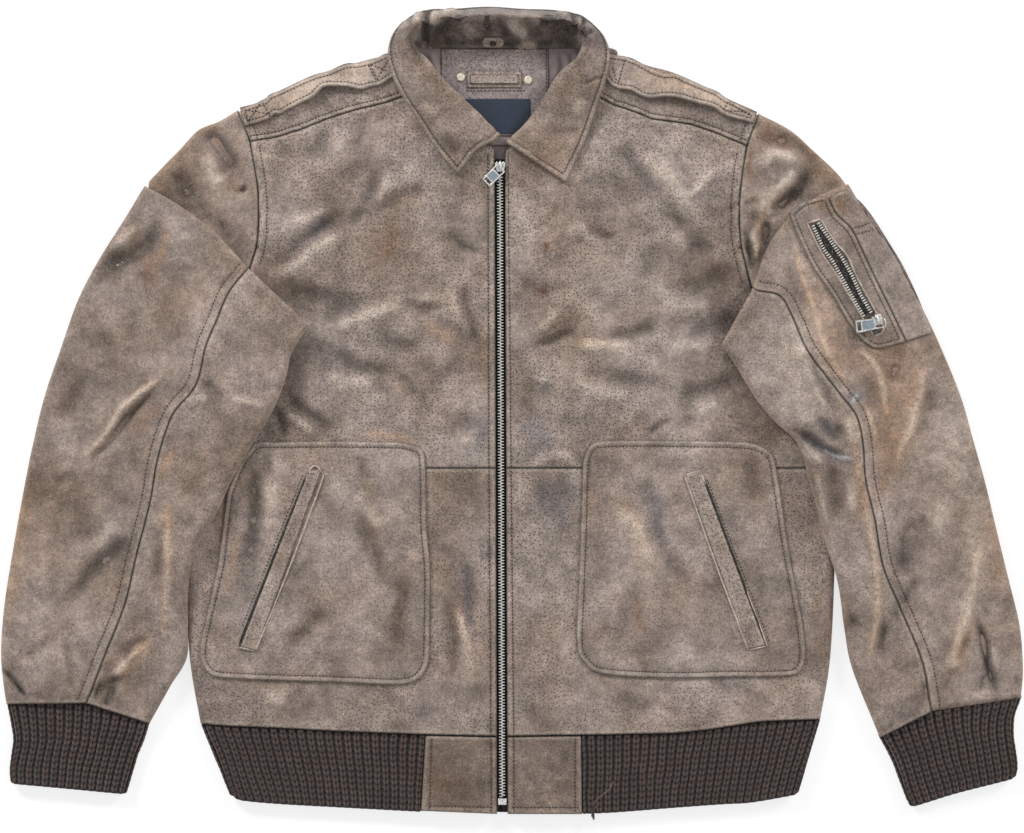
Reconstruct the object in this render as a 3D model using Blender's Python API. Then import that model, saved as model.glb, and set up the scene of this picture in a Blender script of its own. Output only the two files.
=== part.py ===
"""A worn leather flight jacket, laid flat on its back with its zip closed and its sleeves beside it.

Run with: blender --background --python part.py

Every size is in millimetres in the jacket's own frame, and turns into metres when a mesh is made. +X is
the wearer's left, +Y runs to the collar, +Z points up, and the origin is on the surface below the middle
of the jacket.

The cloth lies in layers: the back on the surface, the fronts on the back, and epaulettes and pockets on
the fronts, each made from the facets of the layer below it and moved up. Sleeves, cuffs and the waistband
are flattened tubes, lofted through stations along their length.
"""

from math import cos, pi, radians, sin

import bmesh
import bpy
import numpy as np
from mathutils import Matrix, Vector
from mathutils.geometry import delaunay_2d_cdt

MM = 0.001
GAP = 0.3  # between neighbours, at a seam or where one lies on another

# Cloth. A wall is leather, wadding and lining together.
WALL = 5.0
KNIT = 4.2
BAND_TOP, CUFF_TOP = 11.5, 11.4  # of the knitted parts, which lie flatter than the leather
PATCH = 2.2
STRAP = 2.6
NECK_CLOTH = 0.8  # the lining and the facing inside the neck
BODY_TOP = 13.5  # of the fronts, away from folds
EDGE_ROLL, EDGE_WIDTH = 5.0, 9.0  # how far the fronts drop at the shoulders and sides, and over what width
ZIP_FLAT, ZIP_RISE = 12.0, 45.0  # folds keep this far from the zip, and take this far to reach their height
LATTICE = 38.0  # spacing of the facets of the fronts

# Sleeves
SLEEVE_THICKNESS = 13.4
SLEEVE_CROWN = 1.6
SLEEVE_CLEARANCE = 4.2  # above the fronts, so that a sleeve clears a pocket's corner
SLEEVE_SLOPE = 0.1  # of the stretch that lies on the body's side
BRIDGE = 60.0  # how far a sleeve takes to come down from the body to the surface
FADE_FROM, FADE_TO = -150.0, -240.0  # between these a sleeve leaves the body's side
FOLD_MARGIN = 30.0  # a sleeve's folds grow to their height over this distance from its edge
TOP_SPOTS, UNDER_SPOTS = (1, 0.72, 0.46, 0.22), (1, 0.6, 0.28)  # where a section has points, from its seam
SLEEVE_TURN, KNIT_TURN = (50, 0, -50), (60, 0, -60)  # angles of the points round a flattened tube's edge
HEAD_TOP = 13.2
HEAD_ROLL, HEAD_ROLL_WIDTH = 5.5, 10.0
HEAD_LATTICE = 22.0
HIDDEN_WALL = 2.2  # of the head where it runs on inside the sleeve that is folded over it
FOLD_SIDE = 4.0  # the head's facets follow the fold on both sides, at this distance

# Zip
ZIP_TOP, ZIP_BOTTOM = (-11.3, 232.0), (-9.0, -364.0)
ZIP_OPENING = 9.4
TAPE_WIDTH, TAPE_THICKNESS, TAPE_TOP = 14.0, 1.3, 8.1
CHAIN_WIDTH, CHAIN_TOP = 5.8, 12.2
BOX_WIDTH, BOX_TOP = 8.0, 13.0
TAPE_ENDS, CHAIN_ENDS, BOX_ENDS = (234.0, -363.0), (219.5, -357.5), (-358.2, -364.2)
WAIST_Y = -52.5

LEATHER = ("leather", (0.262, 0.194, 0.148), 0.85, 0.0)
KNITWEAR = ("rib knit", (0.072, 0.046, 0.038), 0.95, 0.0)
SATIN = ("satin lining", (0.19, 0.15, 0.15), 0.5, 0.0)
LABEL = ("label cloth", (0.01, 0.024, 0.045), 0.7, 0.0)
TAPE = ("zip tape", (0.012, 0.011, 0.011), 0.9, 0.0)
STEEL = ("zip metal", (0.45, 0.44, 0.42), 0.35, 1.0)
BRASS = ("snap metal", (0.55, 0.46, 0.36), 0.35, 1.0)

# Side outlines of the body, from the shoulder tip down the armhole and the side seam to the hem.
RIGHT_SIDE = (
    (-254, 278), (-243, 252), (-235, 206), (-234, 175), (-236, 152), (-243, 132), (-262, 99), (-286, 57),
    (-299, -8), (-304, -82), (-302, -157), (-299, -229), (-289, -289),
)
LEFT_SIDE = (
    (228, 275), (217, 245), (211, 204), (210, 175), (212, 152), (222, 114), (245, 93), (272, 57),
    (292, -8), (300, -82), (299, -157), (295, -231), (286, -285),
)
# Shoulder lines from the tip to the neck point.
RIGHT_SHOULDER = ((-254, 278), (-224, 293), (-196, 306), (-167, 317), (-141, 324), (-115, 331), (-103, 331))
LEFT_SHOULDER = ((228, 275), (200, 289), (186, 298), (151, 314), (126, 321), (100, 330), (85, 332))
# Lower edges of the yokes from the armhole to the neck, and the fronts' neck edges from there to the zip.
RIGHT_YOKE_EDGE = ((-243, 250), (-219, 254), (-196, 261), (-171, 271), (-146, 279), (-117, 286), (-78, 300))
LEFT_YOKE_EDGE = ((217, 246), (189, 258), (165, 266), (129, 271), (112, 278), (94, 284), (62, 302))
RIGHT_NECK = ((-78, 300), (-60, 283), (-42, 266), (-26, 252), (-17, 243))
LEFT_NECK = ((62, 302), (46, 283), (30, 265), (14, 250), (-5.5, 243))
# The hem seam from the zip to the side.
RIGHT_HEM = ((-14, -300.5), (-81, -299), (-160, -296), (-219, -293), (-267, -291), (-289, -289))
LEFT_HEM = ((-4, -300.5), (65, -299.5), (98, -299), (160, -297), (205, -291), (232, -287), (286, -285))

# Folds pressed into the fronts: from, to, half width, height (a trough is negative).
BODY_FOLDS = (
    ((-262, 140), (-150, 190), 26, 3.0),
    ((-225, 95), (-120, 165), 24, -2.2),
    ((-140, 240), (-60, 190), 26, -2.0),
    ((115, 240), (200, 165), 26, 2.4),
    ((95, 235), (165, 150), 22, -2.4),
    ((30, 65), (175, 105), 26, -2.0),
    ((-60, 170), (-35, 70), 24, -1.6),
    ((-190, 20), (-90, 60), 26, 1.6),
    ((-262, -80), (-240, -180), 22, 1.4),
)
SLEEVE_FOLDS = (
    ((-420, 25), (-345, -35), 24, -2.6),
    ((-395, 60), (-330, 0), 24, 2.2),
    ((-440, -165), (-345, -110), 26, -2.2),
    ((265, 170), (325, 30), 24, 2.0),
    ((390, 40), (350, -60), 22, -2.4),
    ((430, -190), (455, -260), 20, -2.0),
    ((-445, -235), (-380, -215), 20, 2.0),
)

# Stations of the sleeves from the fold at the shoulder to the cuff: outer edge, visible seam, inner edge, how
# high the outer edge is off the surface, thickness, and bow, which pushes the middle towards the shoulder.
RIGHT_SLEEVE = (
    ((-339, 208), (-243, 132), (-187, 79), 14.5, 6.4, 7),
    ((-343, 202), (-247, 127), (-189, 75), 14.0, 11.0, 7),
    ((-360, 175), (-261, 109), (-196, 66), 11.0, SLEEVE_THICKNESS, 3),
    ((-384, 138), (-272, 83), (-204, 52), 6.0, SLEEVE_THICKNESS, 0),
    ((-403, 102), (-282, 59), (-208, 33), 2.0, SLEEVE_THICKNESS, 0),
    ((-419, 57), (-291, 24), (-218, 6), 0, SLEEVE_THICKNESS, 0),
    ((-434, 13), (-313, -4), (-232, -19), 0, SLEEVE_THICKNESS, 0),
    ((-445, -33), (-327, -45), (-253, -53), 0, SLEEVE_THICKNESS, 0),
    ((-453, -73), (-334, -84), (-271, -91), 0, SLEEVE_THICKNESS, 0),
    ((-463, -129), (-347, -133), (-294, -134), 0, SLEEVE_THICKNESS, 0),
    ((-471, -180), (-358, -178), (-300, -181), 0, SLEEVE_THICKNESS, 0),
    ((-474, -222), (-376, -224), (-301, -226), 0, SLEEVE_THICKNESS, 0),
    ((-472, -250), (-386, -250), (-317, -255), 0, SLEEVE_THICKNESS, 0),
    ((-469, -271), (-394, -270), (-336, -289), 0, SLEEVE_THICKNESS, 0),
)
LEFT_SLEEVE = (
    ((310, 210), (222, 114), (193, 62), 14.5, 6.4, 19),
    ((314, 204), (227, 111), (196, 58), 14.0, 11.0, 18),
    ((331, 176), (247, 106), (207, 41), 11.0, SLEEVE_THICKNESS, 9),
    ((351, 149), (259, 85), (222, 16), 6.0, SLEEVE_THICKNESS, 4),
    ((367, 120), (270, 59), (234, 0), 2.0, SLEEVE_THICKNESS, 0),
    ((385, 87), (285, 38), (246, -13), 0, SLEEVE_THICKNESS, 0),
    ((401, 52), (303, 15), (260, -25), 0, SLEEVE_THICKNESS, 0),
    ((417, 12), (318, -5), (268, -40), 0, SLEEVE_THICKNESS, 0),
    ((428, -27), (324, -33), (273, -61), 0, SLEEVE_THICKNESS, 0),
    ((439, -66), (326, -62), (280, -85), 0, SLEEVE_THICKNESS, 0),
    ((450, -112), (335, -101), (289, -120), 0, SLEEVE_THICKNESS, 0),
    ((461, -157), (343, -144), (301, -159), 0, SLEEVE_THICKNESS, 0),
    ((471, -199), (362, -188), (308, -203), 0, SLEEVE_THICKNESS, 0),
    ((474, -239), (380, -233), (316, -240), 0, SLEEVE_THICKNESS, 0),
    ((472, -266), (388, -278), (341, -302), 0, SLEEVE_THICKNESS, 0),
)
# The sleeve heads between armhole and fold, carried on under the sleeve to hold it up.
RIGHT_HEAD = (
    (-254.5, 279.5), (-272, 269), (-291, 261), (-307, 244), (-320, 231), (-336, 214), (-338, 190),
    (-352, 160), (-368, 128), (-300, 86), (-278, 98), (-262, 123),
)
LEFT_HEAD = (
    (228.5, 276.5), (258, 261), (277, 244), (308, 213), (318, 180), (336, 152), (330, 120), (290, 80),
    (264, 98), (242, 119),
)
HEAD_FOLDS = (
    ((232, 190), (262, 228), 9, 4.5),
    ((262, 228), (238, 241), 9, 3.5),
    ((-300, 240), (-262, 200), 16, 2.0),
)

# Cuffs, from the seam to the mouth: outer edge, middle, inner edge.
RIGHT_CUFF = (
    ((-468, -273), (-396, -272), (-337, -291)),
    ((-465, -288), (-400, -297), (-341, -304)),
    ((-463, -306), (-404, -315), (-348, -322)),
    ((-466, -330), (-408, -336), (-354, -342)),
    ((-465, -345), (-410, -350), (-358, -355)),
)
LEFT_CUFF = (
    ((471, -269), (388, -281), (342, -304)),
    ((466, -284), (394, -300), (350, -319)),
    ((466, -303), (400, -322), (357, -336)),
    ((469, -328), (408, -344), (365, -357)),
    ((467, -340), (412, -354), (370, -367)),
)
# The waistband's lower edge below each point of the hem seam, from the tab to the side.
RIGHT_BAND_FOOT = ((-85.3, -371), (-160, -367), (-214, -364), (-248, -361), (-261, -357))
LEFT_BAND_FOOT = ((66, -373), (98, -371.5), (155, -367), (197, -364), (222, -362.5), (265, -355))
BAND_ROWS = (0.0, 0.33, 0.67, 1.0)
# The leather tabs' outer edges, from the hem seam down, and both ends of their edges beside the zip.
RIGHT_TAB = ((-80.6, -299.5), (-84.8, -370.5))
LEFT_TAB = ((64.6, -299.9), (65.4, -373.6))
TAB_ENDS = (-373.5, -300.9)

# Epaulettes: lower edge from the armhole to the neck, and the upper one back again.
RIGHT_EPAULETTE = (
    (-246, 262), (-224, 271), (-196, 283), (-174, 299), (-152, 300), (-129, 300), (-106, 308),
    (-109, 329), (-141, 320), (-167, 313), (-196, 302), (-231, 286), (-249, 277),
)
LEFT_EPAULETTE = (
    (221, 265), (192, 276), (172, 284), (158, 289), (141, 291), (121, 291), (97, 300), (84, 306),
    (88, 328), (126, 317), (151, 310), (186, 294), (212, 280), (226, 274),
)
EPAULETTE_LIFT, LIFT_WIDTH = 2.6, 18.0  # of its lower edge's middle, and how far in from that edge it reaches

# Pockets, clockwise from the upper corner at the wearer's right.
RIGHT_POCKET = (
    (-237, -28), (-166, -27), (-101, -28), (-88, -32), (-80, -41), (-78.5, -107), (-75, -150), (-76, -229),
    (-82, -244), (-101, -253), (-160, -251), (-266, -247), (-283, -240), (-289, -229), (-288, -210),
    (-272, -141), (-264, -74), (-252, -45),
)
LEFT_POCKET = (
    (65, -49), (70, -35), (84, -27), (182, -27), (222, -29), (237, -35), (244, -47), (256, -125),
    (267, -183), (272, -221), (269, -238), (258, -245), (199, -246), (144, -247), (82, -243), (67, -233),
    (59.5, -219), (61, -163), (63, -111),
)
WELT = 1.2
RIGHT_WELT = ((-189, -54), (-175, -53), (-236, -222), (-252, -218))
LEFT_WELT = ((159, -58), (174, -53), (235, -216), (218, -221))

# Collar stations from the right point round the back to the left point: leaf edge, its height, crest, its
# height, foot of the stand, its height.
COLLAR = (
    ((-50, 218), 14.4, (-12, 254), 23, (-19, 246), 14.2),
    ((-70, 242), 14.4, (-30, 272), 25, (-38, 260), 14.2),
    ((-89, 271), 15.5, (-48, 289), 27, (-57, 277), 14.2),
    ((-103, 293), 17.6, (-64, 305), 29, (-74, 294), 14.2),
    ((-113, 316), 18.0, (-79, 322), 32, (-91, 312), 14.2),
    ((-115, 336), 16.0, (-91, 337), 35, (-98, 327), 14.2),
    ((-107, 355), 10.0, (-91, 349), 37, (-89, 341), 11.0),
    ((-84, 372), 2.0, (-80, 358), 38, (-76, 340), 6.6),
    ((-55, 374), 0.6, (-55, 361), 38, (-55, 339), 6.4),
    ((-22, 376), 0.6, (-22, 363), 38, (-22, 339), 6.4),
    ((10, 374), 0.6, (10, 361), 38, (10, 339), 6.4),
    ((38, 373), 0.6, (38, 360), 38, (38, 339), 6.4),
    ((62, 369), 1.2, (57, 356), 38, (54, 339), 6.6),
    ((76, 359), 5.0, (66, 348), 37, (64, 337), 10.0),
    ((87, 345), 12.0, (68, 339), 35, (74, 329), 14.2),
    ((91, 328), 17.0, (62, 327), 32, (73, 316), 14.2),
    ((87, 305), 17.6, (46, 312), 30, (60, 302), 14.2),
    ((80, 285), 16.0, (32, 291), 27, (44, 282), 14.2),
    ((68, 250), 14.4, (14, 265), 25, (26, 262), 14.2),
    ((50, 211), 14.4, (-4, 247), 23, (8, 246), 14.2),
)
LEAF_WALL, STAND_WALL = 3.0, 2.4
BACK_STATION = 9  # the one that gives the stand's face at the middle of the back
STAND_DROP, STAND_SET = 6.0, 1.6  # the stand's top lies this far below the crest, and this far in from it
# The tab on the stand and its snap. Places up the stand run from 0 at its foot to 1 at its top.
COLLAR_TAB, COLLAR_TAB_WALL = (-28, -7, 0.02, 0.40), 1.4
TAB_SNAP, TAB_SNAP_RADIUS, SNAP_SIDES = (-17.7, 0.2), 3.0, 16

# Inside the neck, from the lowest layer up. The guard lies behind the zip's top.
NECK_LINING = ((-93, 337), (70, 337), (70, 300), (30, 247), (-36, 247), (-93, 298))
ZIP_GUARD = ((-17, 205), (0.5, 205), (1.5, 246), (-18, 246))
NECK_FACING = ((-66, 255.5), (34, 336.6))
NECK_LABEL, LABEL_CLOTH = ((-50, 257.5), (17, 290)), 0.6
HANGER_PATCH, HANGER_LOOP, HANGER_STRAP = ((-42, 300), (9, 316)), ((-39, 303.5), (6, 312.5)), 1.6
NECK_SNAPS = (("right_neck_snap", (-47.5, 310)), ("left_neck_snap", (15, 307.3)))
NECK_SNAP_RADIUS, NECK_SNAP_HEIGHT = 3.9, 1.8
GUARD_CLOTH = 1.2

# Sleeve pocket on the left sleeve, its strip for pens and its zip.
SLEEVE_POCKET = (
    (257, 184), (278, 191.5), (293, 197), (305, 180), (319, 164), (335, 133), (356, 93), (369, 64),
    (343, 59), (327, 62), (317, 71), (308, 85), (279, 135), (261, 175),
)
PEN_STRIP = (
    (294, 197.5), (303, 201), (325, 171), (344, 144), (360, 116), (378, 84), (384, 70), (370.5, 64),
    (357, 93), (336, 133), (320, 164), (306, 180),
)
SLEEVE_ZIP_TOP, SLEEVE_ZIP_BOTTOM = (280.5, 176.5), (336.0, 79.0)
SLEEVE_ZIP_WIDTH, SLEEVE_TAPE = 13.0, 1.0

# Sliders: middle, turn in degrees, and sizes. The crown is the bar on top, which holds the pull.
MAIN_SLIDER, MAIN_SLIDER_FLOOR = (-10.9, 226.6), 14.0
SLEEVE_SLIDER, SLEEVE_SLIDER_TURN = (336.7, 84.6), 24.8
SLIDER_LENGTH, SLIDER_WIDTH, SLIDER_PLATE, SLIDER_NECK = 9.8, 10.6, 1.4, 4.0
CROWN_LENGTH, CROWN_WIDTH, CROWN_POST, CROWN_ROOM, CROWN_BRIDGE = 10.8, 2.4, 1.4, 2.2, 1.0
BITE = 0.5  # how far pieces that are joined into one solid run into each other
# Pulls: tabs with an eye at one end and a slot at the other. turn is measured from straight down the jacket.
PULL_THICKNESS, PULL_ARM, PULL_RIM = 1.2, 1.2, 1.5
MAIN_PULL_PIVOT, MAIN_PULL_TURN = (-10.9, 225.8), -45.9
SLEEVE_PULL_PIVOT, SLEEVE_PULL_TURN = (336.7, 85.2), -82.9

# The lines along which the fronts roll down: each shoulder and side.
RIGHT_ROLL = (*RIGHT_SHOULDER[::-1], *RIGHT_SIDE[1:])
LEFT_ROLL = (*LEFT_SHOULDER[::-1], *LEFT_SIDE[1:])


# Small geometry -------------------------------------------------------------------------------------------


def lerp(a, b, t):
    return a + (b - a) * t


def unit(v):
    return v / max(np.linalg.norm(v), 1e-9)


def distance_to_line(p, line):
    """The distance from p to a polyline."""
    p = np.asarray(p, float)
    line = np.asarray(line, float)
    start, step = line[:-1], line[1:] - line[:-1]
    t = np.clip(((p - start) * step).sum(1) / np.maximum((step**2).sum(1), 1e-9), 0, 1)
    return float(np.sqrt(((p - start - step * t[:, None]) ** 2).sum(1)).min())


def inside(p, outline):
    x, y = p
    within = False
    for (ax, ay), (bx, by) in zip(outline, outline[1:] + outline[:1]):
        if (ay > y) != (by > y) and x < (bx - ax) * (y - ay) / (by - ay) + ax:
            within = not within
    return within


def moved_sideways(line, distance, closed=False):
    """The polyline moved to its left by distance, with mitred corners."""
    points = np.asarray(line, float)
    moved = []
    for i, p in enumerate(points):
        before = points[i - 1] if closed or i else p - (points[1] - p)
        after = points[(i + 1) % len(points)] if closed or i + 1 < len(points) else p + (p - before)
        a, b = unit(p - before), unit(after - p)
        normal = unit(np.array([-a[1] - b[1], a[0] + b[0]]))
        moved.append(p + normal * distance / max(0.4, normal @ np.array([-a[1], a[0]])))
    return [tuple(p) for p in moved]


def area_of(outline):
    return 0.5 * sum(ax * by - bx * ay for (ax, ay), (bx, by) in zip(outline, outline[1:] + outline[:1]))


def shrunk(outline, distance=GAP / 2):
    """A closed outline drawn in by distance on every side."""
    outline = [tuple(p) for p in outline]
    return moved_sideways(outline, distance if area_of(outline) > 0 else -distance, closed=True)


def fold_height(p, folds):
    """Folds are soft ridges along a line, highest at its middle and fading past its ends."""
    total = 0.0
    p = np.asarray(p, float)
    for start, end, half_width, height in folds:
        start, end = np.asarray(start, float), np.asarray(end, float)
        along = end - start
        from_middle = abs((p - start) @ along / (along @ along) - 0.5)
        across = abs((p - start) @ unit(np.array([-along[1], along[0]]))) / half_width
        if from_middle < 0.75 and across < 2:
            total += height * (cos(pi / 4 * across) * cos(pi / 3 * from_middle)) ** 2
    return total


def zip_x(y):
    """The zip leans a little, because the jacket isn't laid quite straight."""
    (top_x, top_y), (bottom_x, bottom_y) = ZIP_TOP, ZIP_BOTTOM
    return lerp(top_x, bottom_x, (top_y - y) / (top_y - bottom_y))


# Meshes ---------------------------------------------------------------------------------------------------


def material(look):
    name, colour, roughness, metallic = look
    found = bpy.data.materials.get(name)
    if found:
        return found
    made = bpy.data.materials.new(name)
    made.use_nodes = True
    shader = made.node_tree.nodes["Principled BSDF"]
    shader.inputs["Base Color"].default_value = (*colour, 1)
    shader.inputs["Roughness"].default_value = roughness
    shader.inputs["Metallic"].default_value = metallic
    made.diffuse_color = (*colour, 1)
    return made


def solid(name, points, faces, look):
    """One closed mesh, its faces turned outwards."""
    mesh = bpy.data.meshes.new(name)
    mesh.from_pydata([tuple(c * MM for c in p) for p in points], [], faces)
    shape = bmesh.new()
    shape.from_mesh(mesh)
    bmesh.ops.recalc_face_normals(shape, faces=shape.faces)
    shape.to_mesh(mesh)
    shape.free()
    mesh.materials.append(material(look))
    made = bpy.data.objects.new(name, mesh)
    bpy.context.scene.collection.objects.link(made)
    return made


def joined(target, others):
    """Adds other solids to target with Boolean unions, and hides them."""
    for other in others:
        other.hide_render = True
        other.hide_viewport = False
        other.display_type = "WIRE"
        union = target.modifiers.new("join " + other.name, "BOOLEAN")
        union.operation = "UNION"
        union.object = other
    return target


def triangulated(lines, outlines=()):
    """(points, triangles) of the plane's triangulation that keeps every line and closed outline."""
    points, edges = [], []
    for line in lines:
        start = len(points)
        points += [Vector(p) for p in line]
        edges += [(start + i, start + i + 1) for i in range(len(line) - 1)]
    for outline in outlines:
        start, count = len(points), len(outline)
        points += [Vector(p) for p in outline]
        edges += [(start + i, start + (i + 1) % count) for i in range(count)]
    made = delaunay_2d_cdt(points, edges, [], 0, 0.02)
    return [tuple(p) for p in made[0]], [tuple(f) for f in made[2]]


class Relief:
    """A faceted height over the plane, which several pieces share."""

    def __init__(self, points, triangles, heights):
        self.points = np.asarray(points, float)
        self.triangles = np.asarray(triangles, int)
        self.heights = np.asarray(heights, float)
        a, b, c = (self.points[self.triangles[:, i]] for i in range(3))
        self.origin, self.first, self.second = a, b - a, c - a
        self.cross = self.first[:, 0] * self.second[:, 1] - self.first[:, 1] * self.second[:, 0]

    def height(self, p):
        d = np.asarray(p, float) - self.origin
        u = (d[:, 0] * self.second[:, 1] - d[:, 1] * self.second[:, 0]) / self.cross
        v = (self.first[:, 0] * d[:, 1] - self.first[:, 1] * d[:, 0]) / self.cross
        best = int(np.argmax(np.minimum(np.minimum(u, v), 1 - u - v)))
        corners = self.heights[self.triangles[best]]
        return float(corners[0] * (1 - u[best] - v[best]) + corners[1] * u[best] + corners[2] * v[best])

    def edges_near(self, outline):
        """The facets' edges that may cross the outline's box."""
        low, high = np.min(outline, axis=0), np.max(outline, axis=0)
        sides = [self.triangles[:, pair] for pair in ([0, 1], [1, 2], [2, 0])]
        ends = np.unique(np.sort(np.concatenate(sides)), axis=0)
        a, b = self.points[ends[:, 0]], self.points[ends[:, 1]]
        near = ((np.maximum(a, b) > low) & (np.minimum(a, b) < high)).all(axis=1)
        return [(tuple(p), tuple(q)) for p, q in zip(a[near], b[near])]


def slab(name, outline, top, bottom, look, lines=(), holes=()):
    """A sheet between two heights, which are functions of (x, y), over the outline less its holes."""
    outline = [tuple(map(float, p)) for p in outline]
    flat, triangles = triangulated(lines, [outline, *holes])
    kept = []
    for triangle in triangles:
        middle = tuple(sum(flat[i][axis] for i in triangle) / 3 for axis in (0, 1))
        if inside(middle, outline) and not any(inside(middle, list(hole)) for hole in holes):
            kept.append(triangle)
    used = sorted({i for triangle in kept for i in triangle})
    place = {old: new for new, old in enumerate(used)}
    count = len(used)
    points = [(*flat[i], top(flat[i])) for i in used] + [(*flat[i], bottom(flat[i])) for i in used]
    faces, border = [], {}
    for triangle in kept:
        a, b, c = (place[i] for i in triangle)
        faces += [(a, b, c), (c + count, b + count, a + count)]
        for edge in ((a, b), (b, c), (c, a)):
            border[edge] = True
    faces += [(a, a + count, b + count, b) for a, b in border if (b, a) not in border]
    return solid(name, points, faces, look)


def laid_on(relief, name, outline, above, thickness, look, lift=lambda p: 0.0):
    """A sheet that follows the relief, above it by the given height and by what lift adds at a point."""
    outline = shrunk(outline)
    return slab(
        name,
        outline,
        lambda p: relief.height(p) + above + thickness + lift(p),
        lambda p: relief.height(p) + above + lift(p),
        look,
        relief.edges_near(outline),
    )


def shell(name, outers, inners, look, ring=False):
    """A wall between two nets of points. A ring closes on itself across each station."""
    rows, count = len(outers), len(outers[0])
    points = [p for row in outers for p in row] + [p for row in inners for p in row]
    second = rows * count

    def at(row, j):
        return row * count + j % count

    faces = []
    steps = count if ring else count - 1
    for row in range(rows - 1):
        for j in range(steps):
            a, b, c, d = at(row, j), at(row, j + 1), at(row + 1, j + 1), at(row + 1, j)
            faces += [(a, b, c), (a, c, d)]
            faces += [(second + c, second + b, second + a), (second + d, second + c, second + a)]
        if not ring:
            for j in (0, count - 1):
                a, d = at(row, j), at(row + 1, j)
                faces.append((a, d, second + d, second + a))
    for row in (0, rows - 1):
        for j in range(steps):
            a, b = at(row, j), at(row, j + 1)
            faces.append((a, b, second + b, second + a))
    return solid(name, points, faces, look)


def layer(name, corners, level, thickness, look):
    """A flat rectangle of cloth at a level."""
    (left, front), (right, back) = corners
    return box(name, (left, front, level), (right, back, level + thickness), look)


def box(name, low, high, look):
    corners = [(x, y, z) for x in (low[0], high[0]) for y in (low[1], high[1]) for z in (low[2], high[2])]
    faces = [(0, 1, 3, 2), (4, 6, 7, 5), (0, 4, 5, 1), (2, 3, 7, 6), (0, 2, 6, 4), (1, 5, 7, 3)]
    return solid(name, corners, faces, look)


# The body -------------------------------------------------------------------------------------------------


def ramp(x):
    """x kept between 0 and 1."""
    return min(1.0, max(0.0, x))


def body_height(p):
    """The fronts' top: level beside the zip, then folded, and rolled down at the shoulders and sides."""
    folded = ramp((abs(p[0] - zip_x(p[1])) - ZIP_FLAT) / ZIP_RISE)
    edge = min(distance_to_line(p, line) for line in (RIGHT_ROLL, LEFT_ROLL))
    return BODY_TOP + folded * fold_height(p, BODY_FOLDS) - EDGE_ROLL * ramp(1 - edge / EDGE_WIDTH)


def body_relief():
    """A lattice over the whole body, cut along the lines where the edges begin to roll."""
    lines = []
    xs = np.arange(-8.5 * LATTICE, 8.6 * LATTICE, LATTICE)
    ys = np.arange(-10 * LATTICE, 9.6 * LATTICE, LATTICE)
    lines += [[(x, y) for y in ys] for x in xs]
    lines += [[(x, y) for x in xs] for y in ys]
    lines += [RIGHT_ROLL, LEFT_ROLL]
    lines.append(moved_sideways(RIGHT_ROLL, EDGE_WIDTH))
    lines.append(moved_sideways(LEFT_ROLL, -EDGE_WIDTH))
    points, triangles = triangulated(lines)
    return Relief(points, triangles, [body_height(p) for p in points])


def zip_edge(side, low, high):
    """A front's straight edge beside the zip, from high to low. side is -1 or 1."""
    return [(zip_x(y) + side * ZIP_OPENING / 2, y) for y in (high, low)]


def between(line, low, high):
    """The points of a side outline whose Y is between low and high, with points made at both ends."""
    kept = [p for p in line if low < p[1] < high]

    def made_at(y):
        for (ax, ay), (bx, by) in zip(line, line[1:]):
            if (ay - y) * (by - y) <= 0 and ay != by:
                return (lerp(ax, bx, (y - ay) / (by - ay)), y)
        return line[-1] if y < line[-1][1] else line[0]

    return [made_at(high), *kept, made_at(low)]


def front_piece(relief, name, outline):
    """A wall of the front layer. Where its edge rolls down it thins, to stay clear of the back."""
    outline = shrunk(outline)
    slab(
        name,
        outline,
        relief.height,
        lambda p: max(relief.height(p) - WALL, WALL + GAP),
        LEATHER,
        relief.edges_near(outline),
    )


def make_back():
    collar_seam = [(-96, 339), (78, 339)]
    outline = [*RIGHT_SIDE[::-1], *RIGHT_SHOULDER[1:-1], *collar_seam, *LEFT_SHOULDER[-2:0:-1], *LEFT_SIDE]
    outline += [*LEFT_HEM[-2:0:-1], *RIGHT_HEM[1:-1]]
    slab("back_panel", shrunk(outline), lambda p: WALL, lambda p: 0.0, LEATHER)


def make_fronts(relief):
    for name, side, seam, edge, neck, hem in (
        ("right", -1, RIGHT_SIDE, RIGHT_YOKE_EDGE, RIGHT_NECK, RIGHT_HEM),
        ("left", 1, LEFT_SIDE, LEFT_YOKE_EDGE, LEFT_NECK, LEFT_HEM),
    ):
        upper = [*edge, *neck[1:-1], *zip_edge(side, WAIST_Y, neck[-1][1])]
        upper += between(seam, WAIST_Y, edge[0][1] - 1)[::-1]
        front_piece(relief, name + "_front_upper", upper)
        side_edge = between(seam, hem[-1][1], WAIST_Y)[:-1]
        lower = [*zip_edge(side, hem[0][1], WAIST_Y), *hem[1:], *side_edge[::-1]]
        front_piece(relief, name + "_front_lower", lower)


def arched(epaulette):
    """How far an epaulette stands off the shoulder: most at its lower edge's middle, nothing at its ends."""
    low, high = min(p[0] for p in epaulette), max(p[0] for p in epaulette)
    lower_edge = epaulette[: len(epaulette) // 2 + 1]

    def lift(p):
        along = ramp((p[0] - low) / (high - low))
        return EPAULETTE_LIFT * sin(pi * along) * ramp(1 - distance_to_line(p, lower_edge) / LIFT_WIDTH)

    return lift


def make_shoulders(relief):
    for name, seam, shoulder, edge, epaulette in (
        ("right", RIGHT_SIDE, RIGHT_SHOULDER, RIGHT_YOKE_EDGE, RIGHT_EPAULETTE),
        ("left", LEFT_SIDE, LEFT_SHOULDER, LEFT_YOKE_EDGE, LEFT_EPAULETTE),
    ):
        outline = [*shoulder, *edge[::-1], between(seam, edge[0][1], seam[0][1])[1]]
        front_piece(relief, name + "_yoke", outline)
        laid_on(relief, name + "_epaulette", epaulette, GAP, STRAP, LEATHER, arched(epaulette))


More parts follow.
